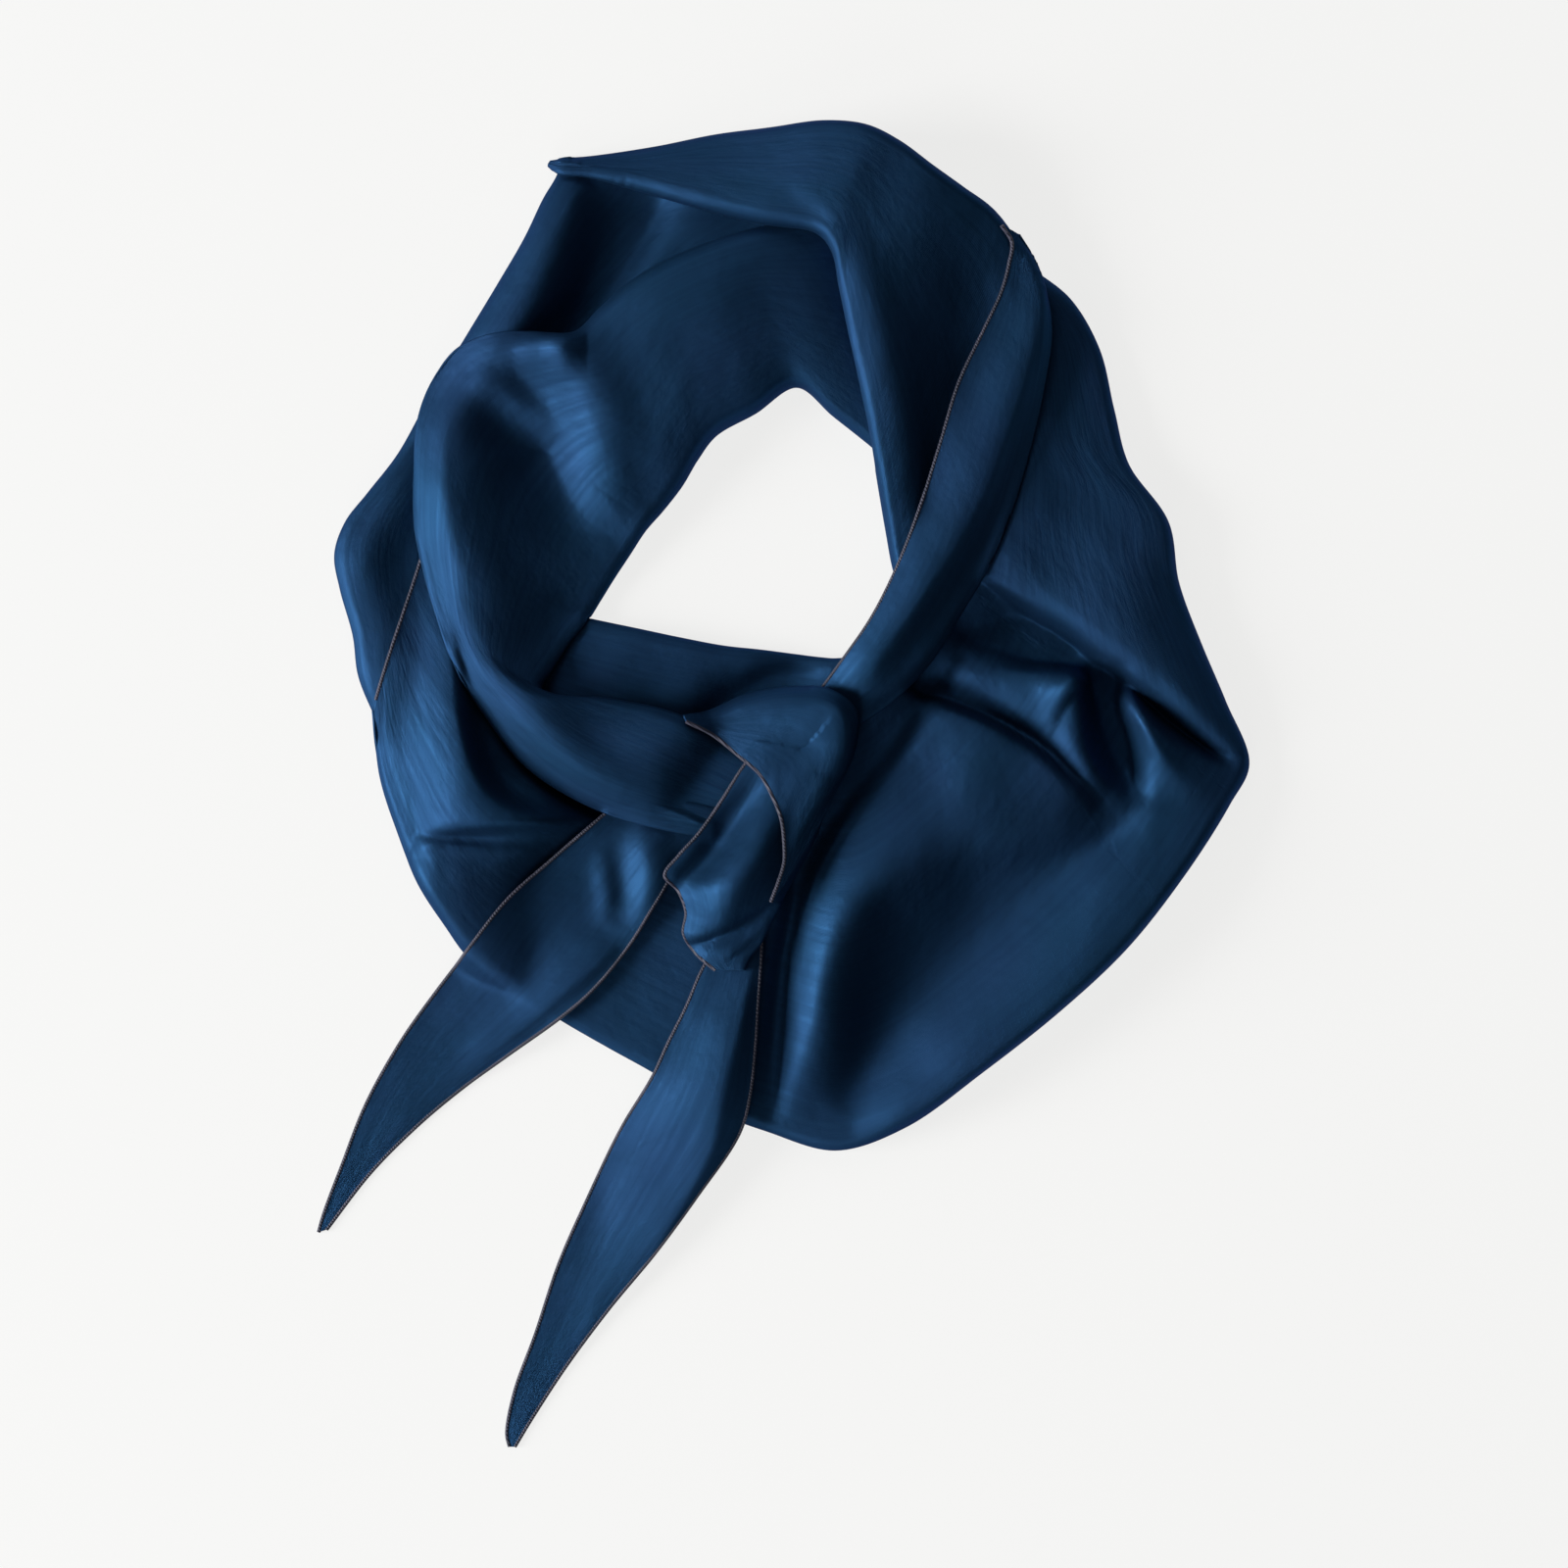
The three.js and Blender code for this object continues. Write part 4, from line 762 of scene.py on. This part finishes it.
def satin_material():
    """Navy silk satin: a dark body under a broad soft sheen, with warp floats, slubs and faint crumple."""
    material, nodes, links, shader = new_material("navy_satin")
    set_inputs(shader, {"Metallic": 0.85, "Specular IOR Level": 0.3, "Specular Tint": (0.15, 0.3, 0.5, 1)})
    flat = nodes.new("ShaderNodeUVMap")
    flat.uv_map = "cloth"
    cloth = flat.outputs["UV"]
    dye = noise(nodes, links, cloth, per_metre=(13, 17, 1), detail=3)
    slubs = noise(nodes, links, cloth, per_metre=(12, 480, 1), detail=4)
    crumple = noise(nodes, links, cloth, per_metre=(45, 62, 1), detail=4)

    shade = nodes.new("ShaderNodeMix")
    shade.data_type = "RGBA"
    shade.blend_type = "MULTIPLY"
    set_inputs(shade, {"Factor": 1})
    links.new(blend_colours(nodes, links, dye, DYE), shade.inputs["A"])
    links.new(blend_colours(nodes, links, slubs, STREAKS), shade.inputs["B"])
    links.new(shade.outputs["Result"], shader.inputs["Base Color"])
    links.new(between(nodes, links, slubs, low=0.63, high=0.52), shader.inputs["Roughness"])

    # Warp threads that pass over several wefts, in millimetres, each row of them shifted from the last
    floats = nodes.new("ShaderNodeTexBrick")
    floats.offset = 0.4
    set_inputs(floats, {
        "Scale": 1000, "Brick Width": 2.2, "Row Height": 0.4, "Mortar Size": 0.06, "Mortar Smooth": 1,
        "Color1": (1, 1, 1, 1), "Color2": (0.8, 0.8, 0.8, 1), "Mortar": (0, 0, 0, 1),
    })
    links.new(cloth, floats.inputs["Vector"])
    normal = raise_surface(nodes, links, crumple, depth=0.0011)
    normal = raise_surface(nodes, links, slubs, depth=0.00012, below=normal)
    normal = raise_surface(nodes, links, floats.outputs["Color"], depth=0.00003, below=normal)
    links.new(normal, shader.inputs["Normal"])
    return material


def hem_material():
    """Grey-blue silk thread, overcast round the rolled edge."""
    material, nodes, links, shader = new_material("hem_thread")
    set_inputs(shader, {"Roughness": 0.6})
    place = nodes.new("ShaderNodeTexCoord").outputs["Object"]
    turns = nodes.new("ShaderNodeTexWave")
    turns.bands_direction = "DIAGONAL"
    set_inputs(turns, {"Scale": 420, "Distortion": 1.5})
    links.new(place, turns.inputs["Vector"])
    wear = noise(nodes, links, place, per_metre=(90, 90, 90), detail=3)
    links.new(blend_colours(nodes, links, wear, THREAD), shader.inputs["Base Color"])
    links.new(raise_surface(nodes, links, turns.outputs["Fac"], depth=0.0002), shader.inputs["Normal"])
    return material


def make_floor():
    """A pale table top. It gives off some light of its own, so that it shows as nearly white."""
    bpy.ops.mesh.primitive_plane_add(size=40, location=(0, 0, 0))
    floor = bpy.context.object
    floor.name = "table_top"
    material, _, _, shader = new_material("pale_table")
    set_inputs(shader, {
        "Base Color": (0.13, 0.13, 0.129, 1), "Roughness": 0.9, "Specular IOR Level": 0.1,
        "Emission Color": (1, 1, 0.99, 1), "Emission Strength": 0.8,
    })
    floor.data.materials.append(material)


def make_light(name, azimuth, elevation, distance, size, power):
    turn, rise = math.radians(azimuth), math.radians(elevation)
    flat = distance * math.cos(rise)
    place = Vector((flat * math.cos(turn), flat * math.sin(turn), distance * math.sin(rise)))
    bpy.ops.object.light_add(type="AREA", location=place)
    light = bpy.context.object
    light.name = name
    light.data.size = size
    light.data.energy = power
    light.rotation_euler = (-place).to_track_quat("-Z", "Y").to_euler()


def make_sky():
    """A faint cool light from all round."""
    world = bpy.data.worlds.new("studio")
    bpy.context.scene.world = world
    world.use_nodes = True
    set_inputs(world.node_tree.nodes["Background"], {"Color": (0.95, 0.97, 1, 1), "Strength": 0.06})


def make_camera():
    """Straight above the middle of the photograph's frame, which is 600 mm wide on the table."""
    lens, sensor, frame_width = 85.0, 36.0, 0.6
    frame_middle = (0.0019, 0.0026)
    bpy.ops.object.camera_add(location=(*frame_middle, frame_width * lens / sensor), rotation=(0, 0, 0))
    camera = bpy.context.object
    camera.data.lens = lens
    camera.data.sensor_width = sensor
    bpy.context.scene.camera = camera


make_camera()
satin = satin_material()
thread = hem_material()
ground = Ground()
for number, piece in enumerate(SHEETS):
    ground.prepare()
    grid, top = surface(piece, ground, number)
    ground.add(grid)
    cloth = make_sheet(piece, grid)
    cloth.data.materials.append(satin)
    edges = {"inner": grid[:, 0], "outer": grid[:, -1], "start": grid[0, top]}
    for node, edge in piece["hems"].items():
        hem = make_hem(node, edges[edge])
        hem.data.materials.append(thread)
        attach(hem, "root")
        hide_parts(node)
    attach(cloth, "root")
    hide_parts(piece["name"])

make_floor()
for light in LIGHTS:
    make_light(**light)
make_sky()
bpy.context.scene.view_settings.view_transform = "Standard"
